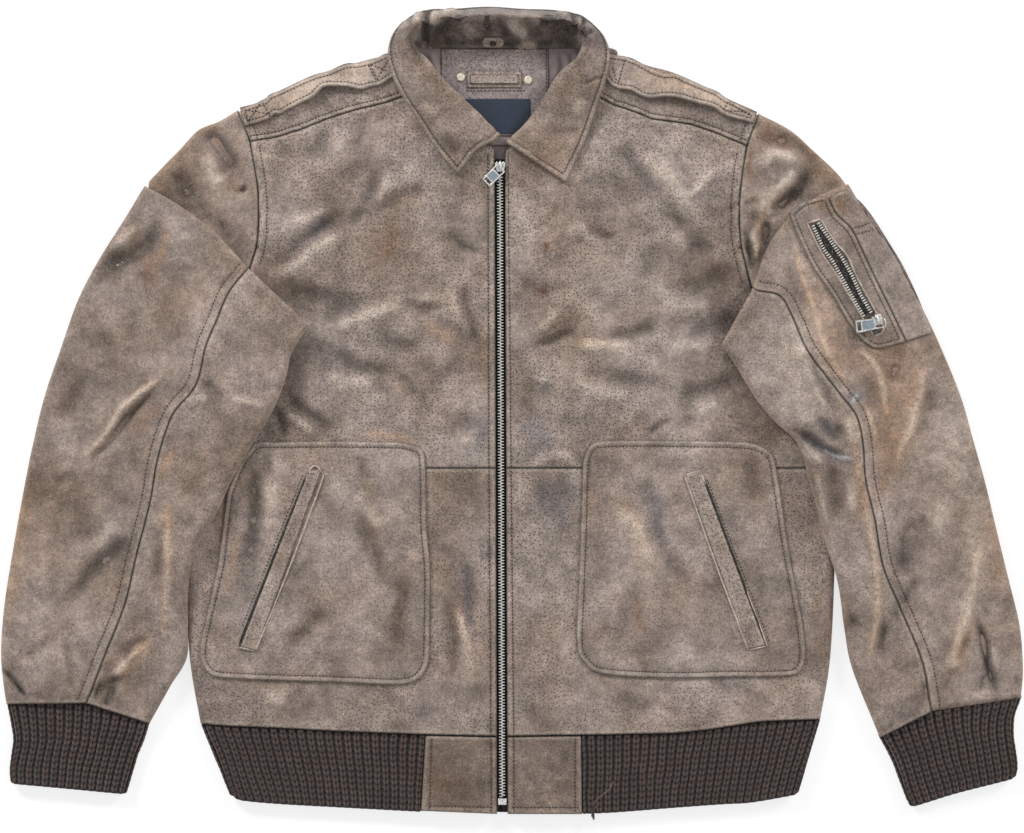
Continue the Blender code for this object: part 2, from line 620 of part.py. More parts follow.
def make_pockets(relief):
    for name, pocket, welt in (("right", RIGHT_POCKET, RIGHT_WELT), ("left", LEFT_POCKET, LEFT_WELT)):
        laid_on(relief, name + "_pocket", pocket, GAP, PATCH, LEATHER)
        laid_on(relief, name + "_welt", welt, 2 * GAP + PATCH, WELT, LEATHER)


def make_hem_tabs(relief):
    for name, side, (outer_top, outer_bottom) in (("right", -1, RIGHT_TAB), ("left", 1, LEFT_TAB)):
        front_piece(relief, name + "_hem_tab", [outer_top, *zip_edge(side, *TAB_ENDS), outer_bottom])


def rolled(inner_point, edge_point, high, wall):
    """Points round the edge of a flattened tube that lies on the surface, from its top to its underside."""
    towards = unit(np.asarray(edge_point, float) - np.asarray(inner_point, float))
    centre = np.asarray(edge_point, float) - towards * high / 2
    radius = high / 2 - wall
    made = []
    for angle in map(radians, KNIT_TURN):
        made.append((*(centre + towards * radius * cos(angle)), high / 2 + radius * sin(angle)))
    return made


def band_half(hem, feet, t):
    """The waistband's points below one half of the hem seam: t is 0 at the seam and 1 at the band's edge."""
    return [
        np.array([lerp(x, foot_x, t), lerp(y - GAP, foot_y, t)])
        for (x, y), (foot_x, foot_y) in zip(hem[1:], feet)
    ]


def make_waistband():
    """One knitted piece: right front, round the side, across the back, round the other side, left front."""
    outers, inners = [], []
    for t in BAND_ROWS:
        right, left = band_half(RIGHT_HEM, RIGHT_BAND_FOOT, t), band_half(LEFT_HEM, LEFT_BAND_FOOT, t)
        for net, wall in ((outers, 0), (inners, KNIT)):
            net.append(
                [(*p, BAND_TOP - wall) for p in right[:-1]]
                + rolled(right[-2], right[-1], BAND_TOP, wall)
                + [(*p, wall) for p in right[-2::-1] + left[:-1]]
                + rolled(left[-2], left[-1], BAND_TOP, wall)[::-1]
                + [(*p, BAND_TOP - wall) for p in left[-2::-1]]
            )
    shell("waistband", outers, inners, KNITWEAR)


# Sleeves and cuffs ----------------------------------------------------------------------------------------


def to_side_seams(p):
    return min(distance_to_line(p, line) for line in (RIGHT_SIDE, LEFT_SIDE))


def support(p, lift, relief, body):
    """The height of a sleeve's underside: on the body, bridging down beside it, or on what its lift says."""
    on_body = BODY_TOP + SLEEVE_CLEARANCE
    away = to_side_seams(p)
    if inside(p, body):
        carried = max(relief.height(p) + SLEEVE_CLEARANCE, on_body - SLEEVE_SLOPE * away)
    else:
        carried = on_body * max(0.0, 1 - away / BRIDGE)
    return max(carried * ramp((p[1] - FADE_TO) / (FADE_FROM - FADE_TO)), lift)


def bowed_line(start, end, bow):
    """(place, length) of a line, bowed towards the shoulder. place takes a distance from its start."""
    start, end = np.asarray(start, float), np.asarray(end, float)
    length = np.linalg.norm(end - start)
    way = (end - start) / length
    side = np.array([way[1], -way[0]]) if way[0] < 0 else np.array([-way[1], way[0]])

    def place(s):
        t = s / length
        return start + way * s + side * bow * 4 * t * (1 - t)

    return place, length


def half_section(edge, seam, lift, thickness, bow, spots, relief, body):
    """The outer and inner points of half a flattened tube, from its seam over its top and back below."""
    place, length = bowed_line(edge, seam, bow)
    wall, radius = min(WALL, thickness / 2 - GAP / 2), thickness / 2

    def low(s):
        return support(place(s), lift, relief, body)

    def high(s):
        crown = SLEEVE_CROWN * sin(pi / 2 * ramp(s / length)) * ramp(thickness / SLEEVE_THICKNESS) ** 3
        return low(s) + thickness + crown + fold_height(place(s), SLEEVE_FOLDS) * ramp(s / FOLD_MARGIN)

    def turn(r):
        """Points round the tube's edge at the distance r from the middle of its end."""
        turns = [(cos(radians(angle)), sin(radians(angle))) for angle in SLEEVE_TURN]
        return [(*place(radius - r * cosine), low(radius) + radius + r * sine) for cosine, sine in turns]

    distances = [(length - GAP / 2) * spot for spot in spots]
    outer = [(*place(s), high(s)) for s in distances]
    outer += turn(radius) + [(*place(s), low(s)) for s in distances[::-1]]
    inner = [(*place(s), high(s) - wall) for s in distances]
    inner += turn(radius - wall) + [(*place(s), low(s) + wall) for s in distances[::-1]]
    return outer, inner


def make_head(name, stations, outline, seam, relief, body):
    """The sleeve's head from the armhole to the fold, and on inside the folded sleeve: one rounded solid."""
    fold_edge, fold_seam, _inner, _lift, _thickness, bow = stations[0]
    place, length = bowed_line(fold_edge, fold_seam, bow)
    fold = [tuple(place(length * t)) for t in (-0.1, 0, 0.2, 0.4, 0.6, 0.8, 1, 1.2)]
    facing = 1 if fold_edge[0] < 0 else -1
    silhouette = [p for p in outline if p[1] > fold_edge[1] + 2]
    down = [-edge[1] for edge, *_rest in stations]
    lifts = [lift for _edge, _seam, _inner, lift, _thickness, _bow in stations]

    def covered(p):
        """True past the fold, where the sleeve lies over the head."""
        nearest = min(range(len(fold) - 1), key=lambda i: distance_to_line(p, fold[i : i + 2]))
        (ax, ay), (bx, by) = fold[nearest : nearest + 2]
        return facing * ((bx - ax) * (p[1] - ay) - (by - ay) * (p[0] - ax)) < 0

    def top(p):
        away = distance_to_line(p, fold)
        if covered(p) and away > FOLD_SIDE / 2:
            return support(p, float(np.interp(-p[1], down, lifts)), relief, body) + HIDDEN_WALL
        roll = HEAD_ROLL * ramp(1 - distance_to_line(p, silhouette) / HEAD_ROLL_WIDTH)
        return HEAD_TOP + fold_height(p, HEAD_FOLDS) * ramp(away / (2 * FOLD_SIDE)) - roll

    lines = [moved_sideways(fold, FOLD_SIDE), moved_sideways(fold, -FOLD_SIDE)]
    lines.append(moved_sideways(silhouette, -HEAD_ROLL_WIDTH * facing))
    middle = (outline[3][0] + outline[0][0]) / 2
    xs = np.arange(-8, 9) * HEAD_LATTICE + middle
    ys = np.arange(60, 290, HEAD_LATTICE)
    lines += [[(x, y) for x in xs] for y in ys]
    armhole = between(seam, stations[0][1][1] + 2.5, seam[0][1] - 1)[1:]
    return slab(name, shrunk([*outline, *armhole[::-1]]), top, lambda p: 0.0, LEATHER, lines)


def make_sleeves(relief):
    """The sleeves, each in two halves. Returns the left top sleeve's sections, which carry its pocket."""
    body = [*RIGHT_SIDE[::-1], *RIGHT_SHOULDER[1:], *LEFT_SHOULDER[::-1], *LEFT_SIDE[1:]]
    for side, stations, head, armhole in (
        ("right", RIGHT_SLEEVE, RIGHT_HEAD, RIGHT_SIDE),
        ("left", LEFT_SLEEVE, LEFT_HEAD, LEFT_SIDE),
    ):
        top, under = [], []
        for outer, seam, inner, lift, thickness, bow in stations:
            top.append(half_section(outer, seam, lift, thickness, bow, TOP_SPOTS, relief, body))
            under.append(half_section(inner, seam, lift, thickness, 0, UNDER_SPOTS, relief, body))
        top_sleeve = shell(side + "_top_sleeve", *zip(*top), LEATHER)
        joined(top_sleeve, [make_head(side + "_head_join", stations, head, armhole, relief, body)])
        shell(side + "_under_sleeve", *zip(*under), LEATHER)
    return [outer for outer, _inner in top]


def make_cuffs():
    for name, stations in (("right_cuff", RIGHT_CUFF), ("left_cuff", LEFT_CUFF)):
        rings = []
        for wall in (0, KNIT):
            rings.append([])
            for outer, middle, inner in stations:
                outer, middle, inner = (np.asarray(p, float) for p in (outer, middle, inner))
                flat = [lerp(middle, outer, 0.6), middle, lerp(middle, inner, 0.6)]
                rings[-1].append(
                    [(*p, CUFF_TOP - wall) for p in flat]
                    + rolled(middle, inner, CUFF_TOP, wall)
                    + [(*p, wall) for p in flat[::-1]]
                    + rolled(middle, outer, CUFF_TOP, wall)[::-1]
                )
        shell(name, *rings, KNITWEAR, ring=True)


def make_sleeve_pocket(sections):
    """The pocket, its strip and its zip, on the sleeve's facets. Returns a function with the zip's height."""
    columns = len(TOP_SPOTS) + 1
    points = [p for section in sections for p in section[:columns]]
    triangles = []
    for row in range(len(sections) - 1):
        for a in range(row * columns, (row + 1) * columns - 1):
            triangles += [(a, a + 1, a + 1 + columns), (a, a + 1 + columns, a + columns)]
    sleeve = Relief([p[:2] for p in points], triangles, [p[2] for p in points])
    laid_on(sleeve, "sleeve_pocket", SLEEVE_POCKET, GAP, PATCH, LEATHER)
    laid_on(sleeve, "pen_strip", PEN_STRIP, GAP, PATCH, LEATHER)
    line = [SLEEVE_ZIP_TOP, SLEEVE_ZIP_BOTTOM]
    tape = [*moved_sideways(line, SLEEVE_ZIP_WIDTH / 2), *moved_sideways(line, -SLEEVE_ZIP_WIDTH / 2)[::-1]]
    above = 2 * GAP + PATCH
    laid_on(sleeve, "sleeve_zip_tape", tape, above, SLEEVE_TAPE, TAPE)
    return lambda p: sleeve.height(p) + above + SLEEVE_TAPE


# Collar and neck ------------------------------------------------------------------------------------------


def leaf_section(edge, edge_z, crest, crest_z):
    """The leaf's faces, from its free edge up to its crest. A steep stretch has its wall sideways."""
    outward = unit(edge - crest)
    edge_top = edge_z + LEAF_WALL
    upper = [
        np.array([*edge, edge_top]),
        np.array([*lerp(edge, crest, 0.5), lerp(edge_top, crest_z, 0.62)]),
        np.array([*lerp(edge, crest, 0.86), crest_z - 1.2]),
        np.array([*crest, crest_z - 2.0]),
    ]
    steep = ramp(((crest_z - edge_z) / np.linalg.norm(edge - crest) - 0.5) / 2)
    sunk = np.array([*(-outward * LEAF_WALL * steep), -LEAF_WALL * (1 - 0.6 * steep)])
    under = [p + sunk for p in upper[:-1]] + [upper[-1] + np.array([*(outward * 1.2), -LEAF_WALL])]
    return [tuple(p) for p in upper], [tuple(p) for p in under]


def stand_section(edge, crest, crest_z, foot, foot_z):
    """The stand's faces, from just below the crest down to its foot: first the one at the neck."""
    inward = np.array([*unit(crest - edge), 0])
    head = np.array([*crest, crest_z - STAND_DROP]) + inward * STAND_SET
    low = np.array([*foot, foot_z])
    down = unit(low - head)
    off = unit(inward - down * (inward @ down)) * STAND_WALL
    low[2] += max(0.0, -off[2])
    behind = [head, lerp(head, low, 0.5), low]
    return [tuple(p + off) for p in behind], [tuple(p) for p in behind]


def make_collar():
    leaf, stand = [], []
    for edge, edge_z, crest, crest_z, foot, foot_z in COLLAR:
        edge, crest, foot = (np.asarray(p, float) for p in (edge, crest, foot))
        leaf.append(leaf_section(edge, edge_z, crest, crest_z))
        stand.append(stand_section(edge, crest, crest_z, foot, foot_z))
    shell("collar_leaf", *zip(*leaf), LEATHER)
    shell("collar_stand", *zip(*stand), LEATHER)


def stand_face(x, t, above):
    """A point over the stand's inner face at the back: t runs up from its foot, and above is off the face."""
    _edge, _edge_z, (_x, crest_y), crest_z, (_foot_x, foot_y), foot_z = COLLAR[BACK_STATION]
    foot, head = np.array([foot_y, foot_z]), np.array([crest_y - STAND_SET, crest_z - STAND_DROP])
    along = unit(head - foot)
    off = np.array([-along[1], along[0]])
    return (x, *(lerp(foot, head, t) + off * (STAND_WALL + above)))


def prism(name, low_ring, high_ring, look):
    """A solid between two rings of points."""
    count = len(low_ring)
    faces = [tuple(range(count)), tuple(range(count, 2 * count))]
    faces += [(i, (i + 1) % count, count + (i + 1) % count, count + i) for i in range(count)]
    return solid(name, [*low_ring, *high_ring], faces, look)


def make_collar_tab():
    """A loop tab on the stand's inner face, with a snap, where a fur collar would button on."""
    corners = rectangle(*COLLAR_TAB)
    levels = (GAP, GAP + COLLAR_TAB_WALL)
    prism("collar_tab", *([stand_face(*corner, level) for corner in corners] for level in levels), LEATHER)
    x, t = TAB_SNAP
    height = np.linalg.norm(np.subtract(stand_face(x, 1, 0), stand_face(x, 0, 0)))
    turns = [2 * pi * i / SNAP_SIDES for i in range(SNAP_SIDES)]
    spots = [(x + TAB_SNAP_RADIUS * cos(turn), t + TAB_SNAP_RADIUS * sin(turn) / height) for turn in turns]
    levels = (2 * GAP + COLLAR_TAB_WALL, 2 * GAP + 2 * COLLAR_TAB_WALL)
    prism("collar_tab_snap", *([stand_face(*spot, level) for spot in spots] for level in levels), BRASS)


def make_neck():
    level = WALL + GAP
    for name, outline, cloth, look in (
        ("neck_lining", NECK_LINING, NECK_CLOTH, SATIN),
        ("zip_guard", ZIP_GUARD, GUARD_CLOTH, LEATHER),
    ):
        slab(name, outline, lambda p: level + cloth, lambda p: level, look)
    facing = level + NECK_CLOTH + GAP
    layer("neck_facing", NECK_FACING, facing, NECK_CLOTH, LEATHER)
    on_facing = facing + NECK_CLOTH + GAP
    layer("neck_label", NECK_LABEL, on_facing, LABEL_CLOTH, LABEL)
    layer("hanger_patch", HANGER_PATCH, on_facing, NECK_CLOTH, LEATHER)
    layer("hanger_loop", HANGER_LOOP, on_facing + NECK_CLOTH + GAP, HANGER_STRAP, LEATHER)
    for name, (x, y) in NECK_SNAPS:
        turns = [2 * pi * i / SNAP_SIDES for i in range(SNAP_SIDES)]
        ring = [(x + NECK_SNAP_RADIUS * cos(turn), y + NECK_SNAP_RADIUS * sin(turn)) for turn in turns]
        levels = (on_facing, on_facing + NECK_SNAP_HEIGHT)
        prism(name, *([(*p, z) for p in ring] for z in levels), BRASS)


# Zip ------------------------------------------------------------------------------------------------------


def zip_strip(name, from_left, from_right, ends, low, high, look):
    """A strip along the zip, between two distances to the side of its middle."""
    outline = [(zip_x(y) + from_left, y) for y in ends] + [(zip_x(y) + from_right, y) for y in ends[::-1]]
    return slab(name, outline, lambda p: high, lambda p: low, look)


def make_zip():
    under_tape, on_tape = TAPE_TOP - TAPE_THICKNESS, TAPE_TOP + GAP
    near, far = GAP / 2, GAP / 2 + TAPE_WIDTH
    zip_strip("right_zip_tape", -far, -near, TAPE_ENDS, under_tape, TAPE_TOP, TAPE)
    zip_strip("left_zip_tape", near, far, TAPE_ENDS, under_tape, TAPE_TOP, TAPE)
    zip_strip("zip_chain", -CHAIN_WIDTH / 2, CHAIN_WIDTH / 2, CHAIN_ENDS, on_tape, CHAIN_TOP, STEEL)
    zip_strip("zip_box", -BOX_WIDTH / 2, BOX_WIDTH / 2, BOX_ENDS, on_tape, BOX_TOP, STEEL)


def slider(name, centre, turn, floor, neck):
    """A slider's top plate, standing on a neck in the chain, and the crown that holds the pull."""
    top = floor + SLIDER_PLATE
    length, width = SLIDER_LENGTH / 2, SLIDER_WIDTH / 2
    plate_outline = [
        (-width, length * 0.55), (-width * 0.55, length), (width * 0.55, length), (width, length * 0.55),
        (width * 0.62, -length), (-width * 0.62, -length),
    ]
    plate = slab(name, plate_outline, lambda p: top, lambda p: floor, STEEL)
    half, across, post = CROWN_LENGTH / 2, CROWN_WIDTH / 2, CROWN_POST
    bridge = top + CROWN_ROOM
    low, high = floor + BITE, bridge + BITE
    pieces = [
        box(name + "_rear_post", (-across, half - post, low), (across, half, high), STEEL),
        box(name + "_front_post", (-across, -half, low), (across, post - half, high), STEEL),
        box(name + "_bridge", (-across, -half, bridge), (across, half, bridge + CROWN_BRIDGE), STEEL),
    ]
    if neck:
        side, end = SLIDER_NECK / 2, length - 1
        pieces.append(box(name + "_neck", (-side, -end, floor - neck), (side, end, floor + BITE), STEEL))
    place = Matrix.Translation(Vector((*centre, 0)) * MM) @ Matrix.Rotation(radians(turn), 4, "Z")
    for piece in [plate, *pieces]:
        piece.data.transform(place)
    return joined(plate, pieces)


def pull(name, outline, eye, slot, pivot, turn):
    """A flat tab with two openings. Its pivot is its own origin, and its end points down its own -Y."""
    level = PULL_THICKNESS / 2
    made = slab(name, outline, lambda p: level, lambda p: -level, STEEL, holes=(eye, slot))
    made.location = Vector(pivot) * MM
    made.rotation_euler = (0, 0, radians(turn))
    return made


def rectangle(left, right, low, high):
    return [(left, low), (right, low), (right, high), (left, high)]


def make_main_pull(bar_z):
    """Its eye's upper bar runs under the crown. It turns about that bar, and its arms clear the crown."""
    half, end, eye_end, left, right, tab_left, tab_right = PULL_ARM / 2, -19.6, -5.4, -4.2, 6.2, -3.9, 6.3
    outline = [
        (left, half), (right, half), (right, eye_end), (tab_right, eye_end - 3), (tab_right, end),
        (tab_left, end), (tab_left, eye_end - 4), (left, eye_end),
    ]
    eye = rectangle(left + PULL_ARM, right - PULL_ARM, eye_end, -half)
    slot = rectangle(tab_left + PULL_RIM, tab_right - PULL_RIM, end + PULL_RIM, end + PULL_RIM + 3.2)
    pull("zip_pull", outline, eye, slot, (*MAIN_PULL_PIVOT, bar_z), MAIN_PULL_TURN)


def make_sleeve_pull(bar_z):
    """It hangs sideways: its eye's near arm runs under the crown, so it turns about that arm."""
    half, end, tab_start, eye_top, far = PULL_ARM / 2, -20.8, -2.7, 7.4, 8.9
    outline = [
        (-half, eye_top - 2), (-half + 2, eye_top), (far - 2, eye_top), (far, eye_top - 2), (far, tab_start),
        (far + 1.4, end + 5), (far + 1.4, end), (-half - 0.4, end), (-half - 0.4, end + 6),
        (-half, tab_start),
    ]
    eye = rectangle(half, far - PULL_ARM, tab_start, eye_top - PULL_ARM)
    slot = rectangle(PULL_RIM - half, far, end + PULL_RIM, end + PULL_RIM + 3.4)
    pull("sleeve_pull", outline, eye, slot, (*SLEEVE_PULL_PIVOT, bar_z), SLEEVE_PULL_TURN)


def make_sliders(sleeve_height):
    """Each slider stands level on what is below it, and its pull lies level under its crown."""
    pivot_rise = SLIDER_PLATE + CROWN_ROOM / 2
    slider("zip_slider", MAIN_SLIDER, 0, MAIN_SLIDER_FLOOR, MAIN_SLIDER_FLOOR - TAPE_TOP - GAP)
    make_main_pull(MAIN_SLIDER_FLOOR + pivot_rise)
    x, y = SLEEVE_SLIDER
    under_pull = [(x + dx, y + dy) for dx in (-24, -12, 0, 6) for dy in (-8, 0, 6)]
    floor = GAP + max(sleeve_height(p) for p in under_pull)
    slider("sleeve_slider", SLEEVE_SLIDER, SLEEVE_SLIDER_TURN, floor, 0)
    make_sleeve_pull(floor + pivot_rise)


def main():
    for old in list(bpy.data.objects):
        bpy.data.objects.remove(old, do_unlink=True)
    relief = body_relief()
    make_back()
    make_fronts(relief)
    make_shoulders(relief)
    make_pockets(relief)
    make_hem_tabs(relief)
    make_waistband()
    sleeve_height = make_sleeve_pocket(make_sleeves(relief))
    make_cuffs()
    make_collar()
    make_collar_tab()
    make_neck()
    make_zip()
    make_sliders(sleeve_height)


main()
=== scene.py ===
"""The looks of a worn leather flight jacket, laid flat on its back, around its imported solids.

Sizes are in millimetres in the jacket's own frame (+X the wearer's left, +Y the collar, +Z up) until a mesh
is made. Most cloth pieces take their outline and their height from their solid. The sleeves' heads, the
epaulettes, the sleeve pocket, its zip, the collar and its tab have lines of their own. Rounded edges, creases,
puckers, wear and stitches are added to them.
"""

from math import cos, pi, radians, sin

import bmesh
import bpy
import numpy as np
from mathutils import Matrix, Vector
from mathutils.bvhtree import BVHTree
from mathutils.geometry import delaunay_2d_cdt


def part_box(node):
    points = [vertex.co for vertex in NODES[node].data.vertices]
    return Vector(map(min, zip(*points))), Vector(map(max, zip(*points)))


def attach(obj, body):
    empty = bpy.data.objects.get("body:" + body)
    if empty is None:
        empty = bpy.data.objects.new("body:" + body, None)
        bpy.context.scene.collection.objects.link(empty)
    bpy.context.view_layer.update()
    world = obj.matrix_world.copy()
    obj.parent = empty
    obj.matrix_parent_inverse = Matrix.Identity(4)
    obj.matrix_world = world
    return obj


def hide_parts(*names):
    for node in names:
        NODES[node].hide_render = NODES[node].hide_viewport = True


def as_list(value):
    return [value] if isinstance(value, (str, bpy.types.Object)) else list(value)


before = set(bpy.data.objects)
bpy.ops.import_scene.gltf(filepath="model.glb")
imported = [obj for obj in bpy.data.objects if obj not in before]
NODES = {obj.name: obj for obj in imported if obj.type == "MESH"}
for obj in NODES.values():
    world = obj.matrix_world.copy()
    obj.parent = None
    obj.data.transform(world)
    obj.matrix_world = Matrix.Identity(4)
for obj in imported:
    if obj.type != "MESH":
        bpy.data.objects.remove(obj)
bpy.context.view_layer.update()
MM = 0.001
BODY = "jacket"


def finer(full):
    """A fineness: always the full one given."""
    return full


# Meshes
SPACING = finer(2.1)  # of the points on the cloth that shows
COARSE = 16.0  # of the points on hidden faces
RINGS = (0.35, 0.9, 1.7, 2.8, 4.4, 5.5, 6.6)  # lines of points beside a piece's edge
GRID = 3.0  # of the height fields
SKY = 90.0  # above every piece: where rays that look down on one start

# Cloth
SEAM = (2.0, 1.5)  # width and drop of an edge that is sewn to its neighbour
PATCH = 2.2  # the thickness of a patch
GAP = 0.3  # between a piece and what it lies on


# Reading the solids ---------------------------------------------------------------------------------------


def points_of(mesh):
    """A mesh's points in mm."""
    co = np.empty(len(mesh.vertices) * 3, np.float32)
    mesh.vertices.foreach_get("co", co)
    return co.reshape(-1, 3) / MM


def triangles_of(mesh):
    mesh.calc_loop_triangles()
    corners = np.empty(len(mesh.loop_triangles) * 3, np.int32)
    mesh.loop_triangles.foreach_get("vertices", corners)
    return corners.reshape(-1, 3)


def tree_over(piece):
    return BVHTree.FromPolygons(points_of(piece.data).tolist(), triangles_of(piece.data).tolist())


def welded(*names):
    """(points in mm, triangles) of some nodes, with equal points merged."""
    points, triangles, count = [], [], 0
    for name in names:
        mesh = NODES[name].data
        unique, inverse = np.unique(np.round(points_of(mesh), 2), axis=0, return_inverse=True)
        points.append(unique)
        triangles.append(inverse.reshape(-1)[triangles_of(mesh)] + count)
        count += len(unique)
    return np.concatenate(points), np.concatenate(triangles)


def tree_of(*names):
    points, triangles = welded(*names)
    return BVHTree.FromPolygons(points.tolist(), triangles.tolist())


def area_of(loop):
    x, y = loop[:, 0], loop[:, 1]
    return 0.5 * float(np.sum(x * np.roll(y, -1) - y * np.roll(x, -1)))


def top_loops(name):
    """The closed outlines of a node's faces that show from above, in mm, largest first and anticlockwise."""
    points, triangles = welded(name)
    a, b, c = (points[triangles[:, i]] for i in range(3))
    normals = units(np.cross(b - a, c - a))
    tree = tree_of(name)
    sides = set()
    for corners, normal, middle in zip(triangles.tolist(), normals, (a + b + c) / 3):
        if normal[2] > 0.1 and tree.ray_cast(Vector(middle) + Vector((0, 0, 0.05)), Vector((0, 0, 1)))[0] is None:
            sides |= {(corners[i], corners[(i + 1) % 3]) for i in range(3)}
    after = {}
    for start, end in sides:
        if (end, start) not in sides:
            after.setdefault(start, []).append(end)
    loops = []
    while after:
        start = next(iter(after))
        chain, here = [start], start
        while here in after:
            follow = after[here].pop()
            if not after[here]:
                del after[here]
            here = follow
            if here == start:
                break
            chain.append(here)
        loop = points[chain]
        if len(loop) > 2 and abs(area_of(loop)) > 60:
            loops.append(loop)
    return sorted(loops, key=lambda loop: -abs(area_of(loop)))


# Small geometry on arrays ---------------------------------------------------------------------------------


def unit(v):
    return v / max(float(np.linalg.norm(v)), 1e-9)


def units(vectors):
    """Each vector of an array, at length one."""
    return vectors / np.maximum(np.linalg.norm(vectors, axis=-1), 1e-9)[..., None]


def plane(height):
    """A level that is the same everywhere."""
    return lambda p: np.full(len(p), height)


def shut(loop):
    """An outline with its first point again at its end."""
    return np.vstack([loop, loop[:1]])


def ramp(x):
    return np.clip(x, 0, 1)


def smooth(x):
    x = np.clip(x, 0, 1)
    return x * x * (3 - 2 * x)


def lengths_along(line):
    return np.concatenate([[0], np.cumsum(np.linalg.norm(np.diff(line, axis=0), axis=1))])


def lengths_over(grid, axis):
    """The length along each line of a grid of points, in the direction of an axis."""
    return np.cumsum(np.linalg.norm(np.diff(grid, axis=axis, prepend=np.take(grid, [0], axis)), axis=2), axis=axis)


def near(p, line, reach=1e6):
    """(distance, length along, side) of the nearest place on a polyline. side is positive on its left.

    Points further than reach may be given as far away.
    """
    p, line = np.asarray(p, float)[:, :2], np.asarray(line, float)[:, :2]
    along = lengths_along(line)
    best = np.full(len(p), 1e9)
    place, side = np.zeros(len(p)), np.zeros(len(p))
    for first in range(0, len(line) - 1, 8):
        run = line[first : first + 9]
        low, high = run.min(0) - reach, run.max(0) + reach
        close = np.nonzero(np.all((p > low) & (p < high), axis=1))[0]
        if not len(close):
            continue
        a, step = run[:-1], np.diff(run, axis=0)
        length = np.maximum(np.hypot(*step.T), 1e-9)
        off = p[close, None] - a[None]
        t = np.clip((off * step).sum(2) / length**2, 0, 1)
        off -= t[..., None] * step
        distance = np.hypot(off[..., 0], off[..., 1])
        pick = distance.argmin(1)
        row = np.arange(len(close))
        closer = distance[row, pick] < best[close]
        index, pick, row = close[closer], pick[closer], row[closer]
        best[index] = distance[row, pick]
        place[index] = along[first + pick] + t[row, pick] * length[pick]
        side[index] = step[pick, 0] * off[row, pick, 1] - step[pick, 1] * off[row, pick, 0]
    return best, place, np.sign(side)


def within(p, loop):
    """Which of the points lie inside a closed loop."""
    x, y = p[:, 0], p[:, 1]
    inside = np.zeros(len(p), bool)
    for (ax, ay), (bx, by) in zip(loop[:, :2], np.roll(loop[:, :2], -1, axis=0)):
        if ay != by:
            inside ^= ((ay > y) != (by > y)) & (x < (bx - ax) * (y - ay) / (by - ay) + ax)
    return inside


def resampled(line, step):
    """The same polyline with points a step apart, its ends kept."""
    line = np.asarray(line, float)
    along = lengths_along(line)
    count = max(1, int(round(along[-1] / step)))
    at = np.linspace(0, along[-1], count + 1)
    return np.stack([np.interp(at, along, line[:, axis]) for axis in range(line.shape[1])], axis=1)


def spline(a, b, c, d, t):
    """Places on the smooth curve through a, b, c and d, between b and c."""
    return 0.5 * (2 * b + (c - a) * t + (2 * a - 5 * b + 4 * c - d) * t**2 + (3 * b - a - 3 * c + d) * t**3)


def curved(line, step):
    """A smooth curve through a polyline's points, as points a step apart."""
    line = np.asarray(line, float)
    if len(line) < 3:
        return resampled(line, step)
    padded = np.vstack([2 * line[0] - line[1], line, 2 * line[-1] - line[-2]])
    t = np.linspace(0, 1, 9)[:-1, None]
    parts = [spline(*four, t) for four in zip(padded, padded[1:], padded[2:], padded[3:])]
    return resampled(np.vstack([*parts, line[-1:]]), step)


def moved(line, distance):
    """An open polyline moved to its left."""
    line = np.asarray(line, float)
    way = units(np.gradient(line[:, :2], axis=0))
    return line[:, :2] + np.stack([-way[:, 1], way[:, 0]], axis=1) * distance


def noise(x, y, seed):
    """Smooth noise from about -1 to 1, with features one unit wide."""
    xi, yi = np.floor(x).astype(np.int64), np.floor(y).astype(np.int64)
    fx, fy = x - xi, y - yi

    def corner(dx, dy):
        h = ((xi + dx) * 374761393 + (yi + dy) * 668265263 + seed * 974711) & 0xFFFFFFFF
        h = ((h ^ (h >> 13)) * 1274126177) & 0xFFFFFFFF
        angle = (h ^ (h >> 16)) / 2**32 * 2 * pi
        return np.cos(angle) * (fx - dx) + np.sin(angle) * (fy - dy)

    u, v = (f**3 * (f * (f * 6 - 15) + 10) for f in (fx, fy))
    low = corner(0, 0) * (1 - u) + corner(1, 0) * u
    high = corner(0, 1) * (1 - u) + corner(1, 1) * u
    return 1.5 * (low * (1 - v) + high * v)


def fractal(x, y, size, octaves, seed):
    """Noise at a size in mm, with finer and weaker noise on it."""
    total = 0
    for octave in range(octaves):
        scale = 2**octave / size
        total = total + noise(x * scale, y * scale, seed + octave) / 1.9**octave
    return total


# Height fields --------------------------------------------------------------------------------------------


def blurred(values, sigma):
    reach = min(int(3 * sigma / GRID) + 1, (min(values.shape) - 1) // 2)
    kernel = np.exp(-0.5 * (np.arange(-reach, reach + 1) * GRID / sigma) ** 2)
    kernel /= kernel.sum()
    for axis in (0, 1):
        values = np.apply_along_axis(lambda row: np.convolve(row, kernel, "same"), axis, values)
    return values


